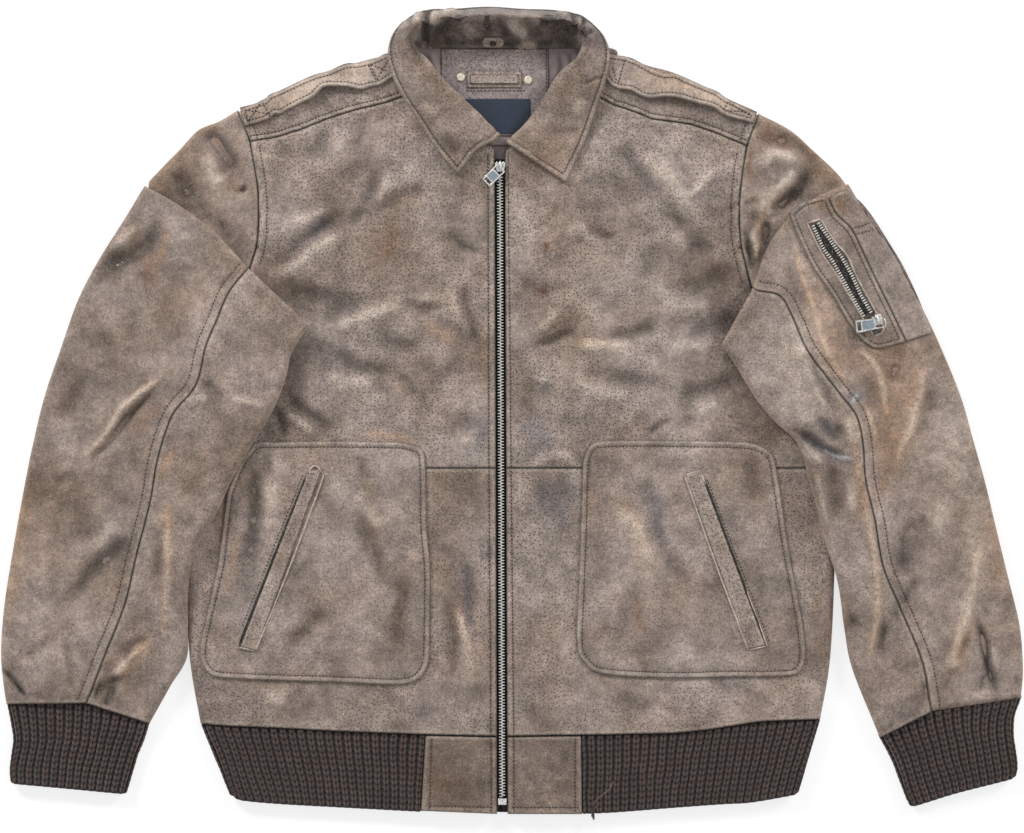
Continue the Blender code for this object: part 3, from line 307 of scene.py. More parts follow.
class Field:
    """A smooth height over the plane: that of some nodes' tops, or undersides, within some loops."""

    def __init__(self, names, loops, edges=(), margin=0.0, blur=12.0, below=False):
        tree = tree_of(*names)
        corners = np.vstack([loop[:, :2] for loop in loops])
        self.low = corners.min(0) - 30
        size = np.ceil((corners.max(0) + 30 - self.low) / GRID).astype(int) + 1
        xs, ys = (self.low[i] + np.arange(size[i]) * GRID for i in (0, 1))
        p = np.stack(np.meshgrid(xs, ys, indexing="ij"), -1).reshape(-1, 2)
        use = np.zeros(len(p), bool)
        for loop in loops:
            use |= within(p, loop)
        for edge in edges:
            use &= near(p, edge, margin + 1)[0] > margin
        start, way = (-10.0, 1.0) if below else (80.0, -1.0)
        heights, weights = np.zeros(len(p)), np.zeros(len(p))
        for i in np.nonzero(use)[0]:
            hit = tree.ray_cast(Vector((p[i, 0], p[i, 1], start)), Vector((0, 0, way)))[0]
            if hit:
                heights[i], weights[i] = hit.z, 1.0
        shape = tuple(size)
        heights, weights = heights.reshape(shape), weights.reshape(shape)
        total, weight = blurred(heights, blur), blurred(weights, blur)
        far_total, far_weight = blurred(heights, 4 * blur), blurred(weights, 4 * blur)
        share = ramp(weight * 25)
        average = heights.sum() / max(weights.sum(), 1)
        wide = np.where(far_weight > 1e-5, far_total / np.maximum(far_weight, 1e-5), average)
        self.values = share * total / np.maximum(weight, 1e-6) + (1 - share) * wide

    def __call__(self, p):
        at = (np.asarray(p, float)[:, :2] - self.low) / GRID
        top = np.array(self.values.shape) - 1.001
        at = np.clip(at, 0, top)
        i, f = np.floor(at).astype(int), at - np.floor(at)
        x, y, u, v = i[:, 0], i[:, 1], f[:, 0], f[:, 1]
        grid = self.values
        low = grid[x, y] * (1 - u) + grid[x + 1, y] * u
        high = grid[x, y + 1] * (1 - u) + grid[x + 1, y + 1] * u
        return low * (1 - v) + high * v


# Outlines -------------------------------------------------------------------------------------------------


class Plan:
    """A piece's outline, anticlockwise: chains of points between its corners, each rolled down or cut."""

    def __init__(self, chains):
        self.chains = chains

    def loop(self):
        return np.vstack([points[:-1] for _rolled, points in self.chains])

    def rolled_sides(self):
        """For each side of the loop, from its point to the next, whether it is on a rolled chain."""
        return np.concatenate([[rolled] * (len(points) - 1) for rolled, points in self.chains])

    def lines(self, rolled):
        return [points[:, :2] for kind, points in self.chains if kind == rolled]


def plan_of(loop, level, kind=lambda middle, rolled: rolled, corner=38.0):
    """The plan of a solid's outline. A chain is rolled where it lies well below the piece's own level."""
    loop = loop if area_of(loop) > 0 else loop[::-1]
    loop = loop[np.linalg.norm(loop[:, :2] - np.roll(loop[:, :2], 1, axis=0), axis=1) > 0.05]
    low = level(loop) - loop[:, 2] > 1.8
    count = len(loop)
    kinds = [low[i] and low[(i + 1) % count] for i in range(count)]
    way = np.roll(loop, -1, axis=0)[:, :2] - loop[:, :2]
    angle = np.degrees(np.arctan2(way[:, 1], way[:, 0]))
    turn = np.abs((angle - np.roll(angle, 1) + 180) % 360 - 180)
    breaks = [i for i in range(count) if turn[i] > corner or kinds[i] != kinds[i - 1]]
    chains = []
    for start, end in zip(breaks, breaks[1:] + [breaks[0] + count]):
        points = curved(loop[[i % count for i in range(start, end + 1)]], 2.0)
        rolled = bool(kinds[start]) and lengths_along(points)[-1] > 8
        chains.append((bool(kind(points[len(points) // 2], rolled)), points))
    return Plan(chains)


def nearest_of(p, lines, reach=40.0):
    """The distance to, and the place along, the nearest of several lines, where that is within reach."""
    best, place = np.full(len(p), 1e9), np.zeros(len(p))
    for i, line in enumerate(lines):
        distance, along, _side = near(p, line, reach)
        closer = distance < best
        best[closer] = distance[closer]
        place[closer] = along[closer] + 1000 * i
    return best, place


def quarter(t):
    """How far a rounded edge lies below the level, from 1 at the edge to 0 at its width."""
    return 1 - np.sqrt(np.clip(1 - (1 - ramp(t)) ** 2, 0, 1))


# Meshes ---------------------------------------------------------------------------------------------------


def lattice(low, high, step):
    rows = np.arange(low[1], high[1], step * 0.866)
    points = []
    for i, y in enumerate(rows):
        x = np.arange(low[0] + (i % 2) * step / 2, high[0], step)
        points.append(np.stack([x, np.full(len(x), y)], 1))
    return np.vstack(points)


def filled(loop, step, rings=()):
    """(points, triangles) over a closed loop, whose own points come first."""
    loop = loop[:, :2]
    extra = lattice(loop.min(0), loop.max(0), step)
    extra = extra[within(extra, loop)]
    closed = shut(loop)
    reach = (rings[-1] if rings else 0) + step * 0.6
    extra = extra[near(extra, closed, reach + 1)[0] > reach]
    for ring in rings:
        line = moved(closed, ring)
        line = line[within(line, loop)]
        line = line[near(line, closed, ring + 1)[0] > ring * 0.93]
        extra = np.vstack([extra, line])
    count = len(loop)
    inputs = [Vector(p) for p in np.vstack([loop, extra])]
    edges = [(i, (i + 1) % count) for i in range(count)]
    points, _edges, faces, origins, _o, _f = delaunay_2d_cdt(inputs, edges, [], 1, 0.01)
    place = {}
    for made, sources in enumerate(origins):
        for source in sources:
            place[source] = made
    order = [place[i] for i in range(count)]
    rest = sorted(set(range(len(points))) - set(order))
    if len(set(order)) != count:
        raise ValueError("an outline's points fell together")
    turned = {old: new for new, old in enumerate(order + rest)}
    points = np.array([tuple(points[i]) for i in order + rest])
    return points, np.array([[turned[i] for i in face] for face in faces], int)


def mesh_of(name, points, faces, look, slot, colours=None, body=BODY):
    mesh = bpy.data.meshes.new(name)
    mesh.from_pydata((np.asarray(points) * MM).tolist(), [], [list(map(int, f)) for f in faces])
    mesh.validate()
    if colours is not None:
        layer = mesh.color_attributes.new("tint", "FLOAT_COLOR", "POINT")
        rgba = np.ones((len(points), 4), np.float32)
        rgba[:, : colours.shape[1]] = colours
        layer.data.foreach_set("color", rgba.reshape(-1))
    mesh.materials.append(look)
    mesh.shade_smooth()
    made = bpy.data.objects.new(name, mesh)
    bpy.context.scene.collection.objects.link(made)
    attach(made, body)
    return made


class Shell:
    """Points and faces of one closed piece of cloth, gathered sheet by sheet."""

    def __init__(self):
        self.points, self.faces, self.count = [], [], 0

    def add(self, plan, heights, triangles, up=True):
        self.points.append(np.column_stack([plan, heights]))
        faces = np.asarray(triangles) + self.count
        self.faces += (faces if up else faces[:, ::-1]).tolist()
        start = self.count
        self.count += len(plan)
        return start

    def arrays(self):
        return np.vstack(self.points), self.faces


def ring_strip(faces, a, b, marks, flip=False):
    """Faces between two equal closed rows, at the sides whose mark is set."""
    count = len(a)
    for i in range(count):
        j = (i + 1) % count
        if marks[i]:
            faces += [(a[i], b[j], b[i]), (a[i], a[j], b[j])] if flip else [(a[i], b[i], b[j]), (a[i], b[j], a[j])]


def slab_shell(plan, top, bottom, fine=SPACING, rings=RINGS, fine_top=True):
    """A single layer: (points, faces). Its finer sheet is the one that shows."""
    loop = plan.loop()
    shell = Shell()
    sheets = [filled(loop, fine, rings), filled(loop, COARSE, rings[-2:-1])]
    (over, over_faces), (under, under_faces) = sheets if fine_top else sheets[::-1]
    a = shell.add(over, top(over), over_faces)
    b = shell.add(under, bottom(under), under_faces, up=False)
    count = len(loop)
    ring_strip(shell.faces, list(range(a, a + count)), list(range(b, b + count)), [True] * count)
    return shell.arrays()


def inward(loop):
    """The unit normals of an anticlockwise loop's points, towards its inside."""
    way = units(np.roll(loop, -1, axis=0)[:, :2] - np.roll(loop, 1, axis=0)[:, :2])
    return np.stack([-way[:, 1], way[:, 0]], axis=1)


TUBE_WALL = 2.0
TUBE_BACK = 6.0  # between the points of its underside


def tube_shell(plan, middle, half, top_relief):
    """Half a flattened tube: hollow, rolled along its rolled chains and open along its cut ones."""
    loop, rolled = plan.loop()[:, :2], plan.rolled_sides()
    edges = plan.lines(True)

    def outer(p):
        width = half(p)
        return width * np.sqrt(1 - (1 - ramp(nearest_of(p, edges)[0] / width)) ** 2) + 0.12

    def shown(p):
        """The top, which never falls far through the middle."""
        return middle(p) + outer(p) + np.maximum(top_relief(p), -1.1 * outer(p))

    inset = loop + inward(loop) * (1.5 * (rolled | np.roll(rolled, 1)))[:, None]
    over, over_faces = filled(loop, SPACING, RINGS)
    under, under_faces = filled(loop, TUBE_BACK, RINGS[1::2])
    core, core_faces = filled(inset, 2 * COARSE)
    gap = np.maximum(outer(core) - TUBE_WALL, 0.1)
    around = np.array([(0, 0)] + [(COARSE * cos(k * pi / 3), COARSE * sin(k * pi / 3)) for k in range(6)])
    lowest = np.min([shown(core + shift) for shift in around], axis=0) - TUBE_WALL * 0.6
    ceiling = np.clip(lowest, middle(core) - gap + 0.1, middle(core) + gap)
    shell, rows = Shell(), []
    for points, faces, height, up in (
        (over, over_faces, shown(over), True),
        (under, under_faces, middle(under) - outer(under), False),
        (core, core_faces, ceiling, False),
        (core, core_faces, middle(core) - gap, True),
    ):
        start = shell.add(points, height, faces, up)
        rows.append(list(range(start, start + len(loop))))
    a, b, c, d = rows
    ring_strip(shell.faces, a, b, rolled)
    ring_strip(shell.faces, c, d, rolled, flip=True)
    ring_strip(shell.faces, a, c, ~rolled)
    ring_strip(shell.faces, b, d, ~rolled, flip=True)
    for i in range(len(loop)):
        before, after = rolled[i - 1], rolled[i]
        if before and not after:
            shell.faces += [(a[i], b[i], d[i]), (a[i], d[i], c[i])]
        elif after and not before:
            shell.faces += [(a[i], d[i], b[i]), (a[i], c[i], d[i])]
    return shell.arrays()


# The jacket's own levels -----------------------------------------------------------------------------------

FRONTS = ("left_front_upper", "right_front_upper", "left_front_lower", "right_front_lower")
YOKES = ("left_yoke", "right_yoke")
TABS = ("left_hem_tab", "right_hem_tab")
SIDES = ("left", "right")
loops = {name: top_loops(name) for name in NODES}
body_loops = [loops[name][0] for name in (*FRONTS, *YOKES, *TABS)]
ZIP_LINE = ((-11.3, 232), (-9, -364))


def shoulder_only(middle, rolled):
    """A yoke rolls down at its shoulder, and is sewn to the sleeve's head at its end."""
    return rolled and abs(middle[0]) < 215


def unrolled(middle, rolled):
    return False


UPPER_FRONTS = FRONTS[:2]
KINDS = {name: shoulder_only for name in YOKES} | {name: unrolled for name in UPPER_FRONTS}
rough = Field((*FRONTS, *YOKES, *TABS), body_loops, blur=30)
body_plans = {name: plan_of(loops[name][0], rough, **({"kind": KINDS[name]} if name in KINDS else {}))
              for name in (*FRONTS, *YOKES, *TABS)}
body_edges = [line for name in (*FRONTS, *YOKES) for line in plan_of(loops[name][0], rough).lines(True)]
body_field = Field((*FRONTS, *YOKES, *TABS), body_loops, body_edges, 11.0, 8.0)

# Creases: height, half width and points. A trough is negative.
DEPTH = 1.35  # how much deeper every crease is made than its height says
BODY_CREASES = (
    (-2.2, 5, ((-133, 279), (-139, 256), (-147, 237))),
    (-1.4, 8, ((-208, 251), (-212, 231), (-218, 203))),
    (-1.6, 9, ((-168, 262), (-182, 244), (-192, 231))),
    (1.5, 9, ((-226, 240), (-232, 222))),
    (-2.7, 6, ((-119, 231), (-130, 206), (-139, 185), (-160, 166))),
    (2.0, 6, ((-109, 226), (-119, 203), (-128, 188))),
    (-2.2, 6, ((-76, 208), (-99, 201), (-117, 191), (-133, 177))),
    (1.4, 8, ((-80, 228), (-104, 216))),
    (-3.4, 7, ((-150, 186), (-176, 171), (-193, 157), (-207, 142), (-232, 126))),
    (2.4, 7, ((-143, 171), (-175, 153), (-200, 135), (-224, 118))),
    (1.6, 6, ((-165, 190), (-186, 178), (-212, 172))),
    (-1.5, 9, ((-156, 226), (-146, 211))),
    (-2.0, 8, ((-232, 116), (-200, 110), (-160, 104), (-128, 110))),
    (-2.4, 4, ((-58, 172), (-52, 156), (-37, 149), (-24, 148))),
    (-1.2, 7, ((-57, 194), (-56, 172))),
    (-2.8, 4, ((-50, 128), (-42, 97), (-37, 78), (-32, 60), (-31, 46))),
    (1.3, 6, ((-60, 128), (-53, 96), (-48, 74))),
    (2.3, 7, ((-172, 72), (-150, 83), (-122, 91), (-100, 105))),
    (-1.8, 7, ((-178, 90), (-150, 96), (-128, 108))),
    (-3.0, 8, ((-170, 68), (-156, 50), (-142, 39), (-122, 38), (-102, 42))),
    (-2.3, 6, ((-126, 72), (-110, 61), (-92, 60), (-84, 70))),
    (-2.0, 5, ((-102, 101), (-84, 94), (-68, 93))),
    (1.6, 5, ((-90, 104), (-68, 104), (-60, 96))),
    (1.8, 9, ((-176, 36), (-150, 26), (-118, 26))),
    (-3.2, 6, ((-216, 22), (-196, 2), (-180, -8), (-164, -24))),
    (2.0, 6, ((-214, 4), (-192, -12), (-182, -24))),
    (-2.2, 4, ((-220, 6), (-210, -26))),
    (-1.6, 9, ((-64, 40), (-42, 38))),
    (-1.7, 5, ((-104, 36), (-97, 24), (-88, 10))),
    (-2.2, 8, ((-34, 0), (-52, -19), (-68, -28))),
    (1.5, 7, ((-30, -14), (-50, -32))),
    (-1.3, 8, ((-62, -54), (-30, -62))),
    (-2.8, 8, ((93, 249), (111, 230), (123, 213), (134, 192))),
    (-2.3, 10, ((70, 218), (97, 209), (120, 186))),
    (2.3, 8, ((122, 240), (143, 213), (159, 194), (176, 173))),
    (-2.7, 8, ((138, 192), (159, 168), (174, 154), (192, 142))),
    (1.8, 6, ((146, 168), (166, 148))),
    (1.9, 4, ((194, 230), (174, 208), (158, 193))),
    (-1.5, 6, ((204, 222), (196, 204))),
    (-2.4, 5, ((66, 172), (81, 163), (100, 161))),
    (2.0, 6, ((44, 163), (66, 168), (84, 153))),
    (-2.2, 3, ((199, 184), (213, 195))),
    (-2.8, 10, ((146, 123), (174, 117), (212, 134))),
    (1.8, 9, ((120, 132), (150, 100), (190, 100))),
    (-2.0, 8, ((0, 119), (19, 114), (32, 112), (60, 121))),
    (1.6, 6, ((12, 68), (33, 82), (50, 99))),
    (-2.9, 4, ((16, 60), (32, 63), (46, 70), (64, 76))),
    (-3.2, 7, ((82, 67), (104, 69), (124, 76), (140, 82))),
    (2.4, 6, ((56, 62), (88, 60), (116, 67))),
    (2.0, 7, ((138, 56), (161, 60), (190, 63))),
    (-3.0, 9, ((160, 70), (190, 79), (214, 89))),
    (-2.4, 8, ((66, 46), (88, 32), (114, 28), (137, 25), (152, 12))),
    (1.7, 8, ((48, 30), (80, 18), (116, 14))),
    (-3.0, 8, ((152, 7), (167, 16), (193, 25), (214, 31))),
    (1.8, 8, ((164, 0), (196, 8))),
    (-2.4, 3.5, ((124, -23), (140, -11), (148, -6))),
    (-1.6, 4, ((164, -3), (160, -18))),
    (-3.2, 7, ((-240, -44), (-238, -72), (-238, -98), (-242, -128), (-250, -152))),
    (1.8, 7, ((-226, -58), (-224, -92), (-228, -118))),
    (-2.2, 5, ((-229, -40), (-226, -62))),
    (-2.2, 6, ((-142, -38), (-134, -68))),
    (-2.3, 7, ((-154, -82), (-137, -112), (-122, -146), (-113, -168))),
    (1.5, 8, ((-136, -82), (-120, -112))),
    (-2.2, 6, ((-103, -140), (-101, -170), (-107, -202), (-101, -230))),
    (-1.8, 7, ((-210, -221), (-186, -198), (-170, -178))),
    (-1.8, 7, ((-204, -256), (-183, -280))),
    (1.5, 8, ((-230, -262), (-206, -270))),
    (-2.0, 9, ((20, -58), (32, -86), (44, -114))),
    (1.6, 6, ((12, -60), (36, -40), (64, -48))),
    (-1.5, 4, ((-42, -134), (-39, -194), (-31, -214))),
    (2.4, 4, ((-52, -176), (-43, -216), (-38, -256))),
    (-2.3, 6, ((-64, -163), (-55, -207), (-55, -250))),
    (2.0, 8, ((88, -80), (123, -126), (120, -158))),
    (-2.3, 8, ((129, -74), (136, -119), (157, -157), (159, -182))),
    (-1.7, 7, ((126, -52), (160, -49))),
    (-2.2, 7, ((221, -34), (227, -90))),
    (-1.8, 8, ((96, -262), (130, -282))),
    (-1.7, 6, ((270, -150), (262, -190), (266, -230))),
)
SLEEVE_CREASES = (
    (-3.0, 7, ((-287, 260), (-273, 249), (-262, 232), (-248, 226))),
    (2.0, 9, ((-278, 240), (-280, 222), (-262, 204))),
    (-3.0, 8, ((-314, 224), (-305, 209), (-296, 193))),
    (-2.2, 5, ((-252, 208), (-246, 203))),
    (-3.4, 8, ((-324, 186), (-328, 168), (-338, 153), (-360, 138), (-386, 126))),
    (2.2, 6, ((-342, 176), (-360, 157), (-380, 144))),
    (-2.0, 8, ((-392, 42), (-407, 10), (-421, -12))),
    (2.8, 3.5, ((-312, 40), (-337, 21), (-360, 2), (-378, -26), (-400, -46))),
    (-3.2, 4, ((-326, 24), (-344, 6), (-359, -10), (-372, -26), (-394, -50))),
    (-2.2, 5, ((-283, 30), (-272, 16), (-264, 10))),
    (1.8, 6, ((-294, 14), (-278, 10))),
    (1.8, 5, ((-262, 13), (-222, 4))),
    (-2.9, 7, ((-348, -108), (-369, -131), (-387, -147), (-402, -165), (-418, -184))),
    (1.6, 7, ((-362, -102), (-392, -130))),
    (-1.8, 5, ((-400, -56), (-425, -70))),
    (-1.8, 5, ((-426, -211), (-453, -232))),
    (-1.8, 3.5, ((-414, -206), (-408, -240), (-408, -266))),
    (-2.4, 5, ((-332, -208), (-352, -218), (-368, -230))),
    (1.8, 4, ((-340, -216), (-366, -240))),
    (-3.6, 5, ((-360, -243), (-380, -256), (-392, -268))),
    (-3.0, 3.5, ((-368, -252), (-377, -276))),
    (2.4, 4, ((-352, -232), (-370, -247), (-386, -266))),
    (-3.0, 2.5, ((-474, -236), (-460, -250), (-448, -266))),
    (-1.8, 6, ((-326, -126), (-328, -156))),
    (1.5, 3.5, ((-317, -90), (-318, -160), (-322, -200))),
    (2.8, 7, ((232, 236), (248, 238), (258, 232), (260, 224))),
    (3.2, 5.5, ((262, 230), (256, 214), (245, 203), (235, 192), (226, 176))),
    (-3.6, 6, ((278, 232), (272, 214), (258, 199), (246, 189), (238, 176))),
    (-2.0, 8, ((238, 252), (262, 250), (276, 238), (284, 222))),
    (-2.2, 7, ((226, 258), (243, 250), (258, 249))),
    (2.0, 9, ((228, 240), (240, 226))),
    (-2.0, 3, ((214, 191), (230, 196))),
    (-3.2, 4, ((216, 160), (222, 142), (224, 128))),
    (2.4, 4, ((227, 176), (223, 160), (226, 145), (224, 130))),
    (-3.8, 4, ((233, 178), (236, 160), (233, 140))),
    (2.0, 3.5, ((233, 182), (243, 185), (252, 187))),
    (1.5, 3, ((258, 168), (266, 128), (275, 104), (284, 73), (294, 47), (312, 20))),
    (-1.5, 5, ((252, 150), (262, 112), (272, 78))),
    (2.0, 3.5, ((312, 59), (331, 48), (341, 30), (345, 6), (353, -6))),
    (-1.6, 6, ((322, 40), (332, 16), (334, -4))),
    (1.9, 3, ((322, 12), (329, -2), (335, -23), (339, -30))),
    (2.2, 4, ((375, 52), (379, 26), (374, 5), (370, -14), (361, -33), (354, -58))),
    (-2.0, 7, ((390, 30), (386, 0), (376, -30))),
    (-2.2, 6, ((356, 46), (350, 24))),
    (-3.4, 5, ((254, -14), (271, -24), (281, -31), (293, -38), (312, -43))),
    (2.2, 5, ((258, -28), (274, -40), (290, -52))),
    (-2.6, 4.5, ((280, -2), (292, -20), (299, -24), (302, -6))),
    (2.2, 5, ((262, 72), (272, 40), (284, 14), (294, -4))),
    (-3.0, 5, ((272, 60), (280, 34), (291, 12), (302, -8))),
    (2.0, 7, ((308, -2), (314, -26), (312, -36))),
    (-3.0, 7, ((294, -40), (297, -74), (302, -104))),
    (2.0, 6, ((280, -50), (284, -84), (290, -116))),
    (1.8, 5, ((310, -60), (314, -96))),
    (1.9, 3.5, ((324, -66), (330, -109), (336, -141), (338, -185), (334, -211), (326, -248))),
    (-2.2, 6, ((318, -190), (306, -200))),
    (-2.8, 4.5, ((345, -190), (341, -220), (343, -234))),
    (-2.5, 6, ((384, -152), (370, -165), (357, -185), (344, -196))),
    (-2.6, 8, ((374, -98), (365, -127), (361, -158))),
    (1.8, 8, ((398, -80), (392, -124))),
    (2.4, 4.5, ((436, -104), (430, -141), (425, -172), (418, -197), (407, -234), (399, -258))),
    (-4.2, 4, ((429, -190), (437, -212), (441, -236), (450, -266))),
    (1.8, 4, ((444, -214), (449, -244))),
    (-1.8, 5, ((420, -205), (412, -236))),
    (-3.0, 3, ((380, -250), (385, -272))),
    (-2.2, 2.5, ((437, -242), (434, -262))),
    (-2.2, 2.5, ((467, -242), (472, -264))),
    (-2.0, 4, ((408, -236), (400, -262))),
)


def creased(p, creases):
    """The height that creases add. Each fades towards its ends."""
    total = np.zeros(len(p))
    for height, width, points in creases:
        line = curved(points, 4)
        reach = 3 * width
        close = np.all((p[:, :2] > line.min(0) - reach) & (p[:, :2] < line.max(0) + reach), axis=1)
        if not close.any():
            continue
        distance, along, _side = near(p[close], line, reach)
        length = lengths_along(line)[-1]
        fade = smooth(along / (0.3 * length)) * smooth((length - along) / (0.3 * length))
        total[close] += height * fade * np.exp(-((distance / width) ** 2))
    return total


def body_relief(p):
    x, y = p[:, 0], p[:, 1]
    total = DEPTH * creased(p, BODY_CREASES)
    total += 0.6 * fractal(x, y, 62, 3, 11) + 0.3 * fractal(x + y * 0.3, y, 17, 3, 12)
    calm = smooth((near(p, ZIP_LINE, 30)[0] - 9) / 16)
    return total * (0.15 + 0.85 * calm)


def body_level(p):
    return body_field(p) + body_relief(p)


# Edges and seams -------------------------------------------------------------------------------------------


def edge_drop(p, plan, roll_width, roll_drop, seam_width=SEAM[0], seam_drop=SEAM[1]):
    """How far a piece's top falls at its rolled and at its sewn edges."""
    drop = roll_drop * quarter(nearest_of(p, plan.lines(True))[0] / roll_width) if plan.lines(True) else 0
    cut = plan.lines(False)
    if cut:
        distance, along = nearest_of(p, cut)
        pucker = 0.7 * fractal(along, distance * 0, 7, 2, 31) * np.exp(-distance / 7)
        drop = np.maximum(drop, seam_drop * quarter(distance / seam_width)) + pucker * smooth(distance / 1.5)
    return drop


GROOVE = 1.3  # the width of the channel along a row of stitches


def grooves(p, lines, depth=0.55):
    """The channel that a row of stitches pulls into the leather."""
    total = np.zeros(len(p))
    for line in lines:
        total = np.maximum(total, depth * np.exp(-((near(p, line, 4 * GROOVE)[0] / GROOVE) ** 2)))
    return total


# Looks -----------------------------------------------------------------------------------------------------


def linear(red, green, blue):
    """A colour given by its display values from 0 to 255."""
    c = np.array([red, green, blue]) / 255
    return np.where(c <= 0.04045, c / 12.92, ((c + 0.055) / 1.055) ** 2.4)


class Look:
    """A procedural material. Its coordinates are in mm."""

    def __init__(self, name, roughness=0.8, metallic=0.0, sheen=0.0, specular=0.4):
        self.made = bpy.data.materials.new(name)
        self.made.use_nodes = True
        self.tree = self.made.node_tree
        self.tree.nodes.clear()
        self.surface = self.add("BsdfPrincipled", roughness=roughness, metallic=metallic)
        self.surface.inputs["Sheen Weight"].default_value = sheen
        self.surface.inputs["Specular IOR Level"].default_value = specular
        end = self.add("OutputMaterial")
        self.tree.links.new(self.surface.outputs[0], end.inputs["Surface"])
        place = self.add("TexCoord")
        self.mm = self.vector("SCALE", place.outputs["Object"], scale=1 / MM)

    def add(self, kind, **inputs):
        node = self.tree.nodes.new("ShaderNode" + kind)
        for key, value in inputs.items():
            self.put(node.inputs[key.capitalize()], value)
        return node

    def tint(self):
        """What a mesh's points carry for its look."""
        node = self.add("Attribute")
        node.attribute_name = "tint"
        return node.outputs

    def put(self, socket, value):
        if isinstance(value, bpy.types.NodeSocket):
            self.tree.links.new(value, socket)
        else:
            socket.default_value = value

    def vector(self, operation, a, b=None, scale=None):
        node = self.add("VectorMath")
        node.operation = operation
        self.put(node.inputs[0], a)
        if b is not None:
            self.put(node.inputs[1], b)
        if scale is not None:
            self.put(node.inputs["Scale"], scale)
        return node.outputs[0]

    def math(self, operation, a, b=0.0, clamp=False):
        node = self.add("Math")
        node.operation, node.use_clamp = operation, clamp
        for socket, value in zip(node.inputs, (a, b)):
            self.put(socket, value)
        return node.outputs[0]

    def spread(self, value, low, high, to_low=0.0, to_high=1.0):
        node = self.add("MapRange")
        node.interpolation_type = "SMOOTHSTEP"
        keys = ("Value", "From Min", "From Max", "To Min", "To Max")
        for key, given in zip(keys, (value, low, high, to_low, to_high)):
            self.put(node.inputs[key], given)
        return node.outputs[0]

    def noise(self, size, detail=2.0, rough=0.55, at=None, distortion=0.0):
        node = self.add("TexNoise")
        self.put(node.inputs["Vector"], at or self.mm)
        for key, value in (("Scale", 1 / size), ("Detail", detail), ("Roughness", rough), ("Distortion", distortion)):
            self.put(node.inputs[key], value)
        return node.outputs[0]

    def mix(self, share, a, b):
        node = self.add("Mix")
        node.data_type = "RGBA"
        for index, value in ((0, share), (6, a), (7, b)):
            if not isinstance(value, bpy.types.NodeSocket) and index:
                value = (*value, 1)
            self.put(node.inputs[index], value)
        return node.outputs[2]

    def finish(self, colour, height=None, depth=0.3, roughness=None):
        self.put(self.surface.inputs["Base Color"], colour)
        if height is not None:
            bump = self.add("Bump")
            bump.inputs["Distance"].default_value = depth * MM
            self.put(bump.inputs["Height"], height)
            self.tree.links.new(bump.outputs[0], self.surface.inputs["Normal"])
        if roughness is not None:
            self.put(self.surface.inputs["Roughness"], roughness)
        return self.made


def leather_look():
    look = Look("worn_leather", 0.82, sheen=0.25, specular=0.3)
    tint = look.tint()
    broad, fine = look.noise(13, 5, 0.68), look.noise(2.1, 4, 0.66, distortion=1.6)
    level = look.math("MULTIPLY", look.spread(broad, 0.3, 0.7, 0.78, 1.2), look.spread(fine, 0.32, 0.68, 0.58, 1.4))
    colour = look.vector("SCALE", tint["Color"], scale=level)
    fleck = look.spread(look.noise(1.5, 2, 0.5, distortion=2.4), 0.6, 0.7)
    colour = look.mix(look.math("MULTIPLY", fleck, 0.5), colour, linear(212, 198, 182))
    cells = look.add("TexVoronoi")
    cells.voronoi_dimensions = "2D"
    look.put(cells.inputs["Vector"], look.mm)
    cells.inputs["Scale"].default_value = 1 / 3.9
    cells.inputs["Randomness"].default_value = 0.78
    where = look.spread(look.noise(34, 3), 0.34, 0.56, 0.15, 1.0)
    pore = look.math("MULTIPLY", look.spread(cells.outputs["Distance"], 0.07, 0.23, 1.0, 0.0), tint["Alpha"])
    pore = look.math("MULTIPLY", pore, where)
    colour = look.mix(look.math("MULTIPLY", pore, 0.85), colour, linear(52, 42, 37))
    grain = look.math("MULTIPLY", fine, 0.5)
    height = look.math("SUBTRACT", look.math("ADD", grain, broad), look.math("MULTIPLY", pore, 0.5))
    return look.finish(colour, height, 0.5, look.spread(fine, 0.3, 0.7, 0.9, 0.72))


LEATHER = leather_look()
TAUPE, BROWN, PALE, DARK = linear(160, 145, 137), linear(128, 106, 88), linear(198, 182, 168), linear(70, 56, 49)
RUST, TAN, BLUE, MAUVE = linear(122, 86, 58), linear(184, 148, 114), linear(96, 96, 106), linear(146, 134, 134)
BLACK, WHITE, SAND = linear(24, 20, 18), linear(222, 220, 220), linear(172, 138, 112)

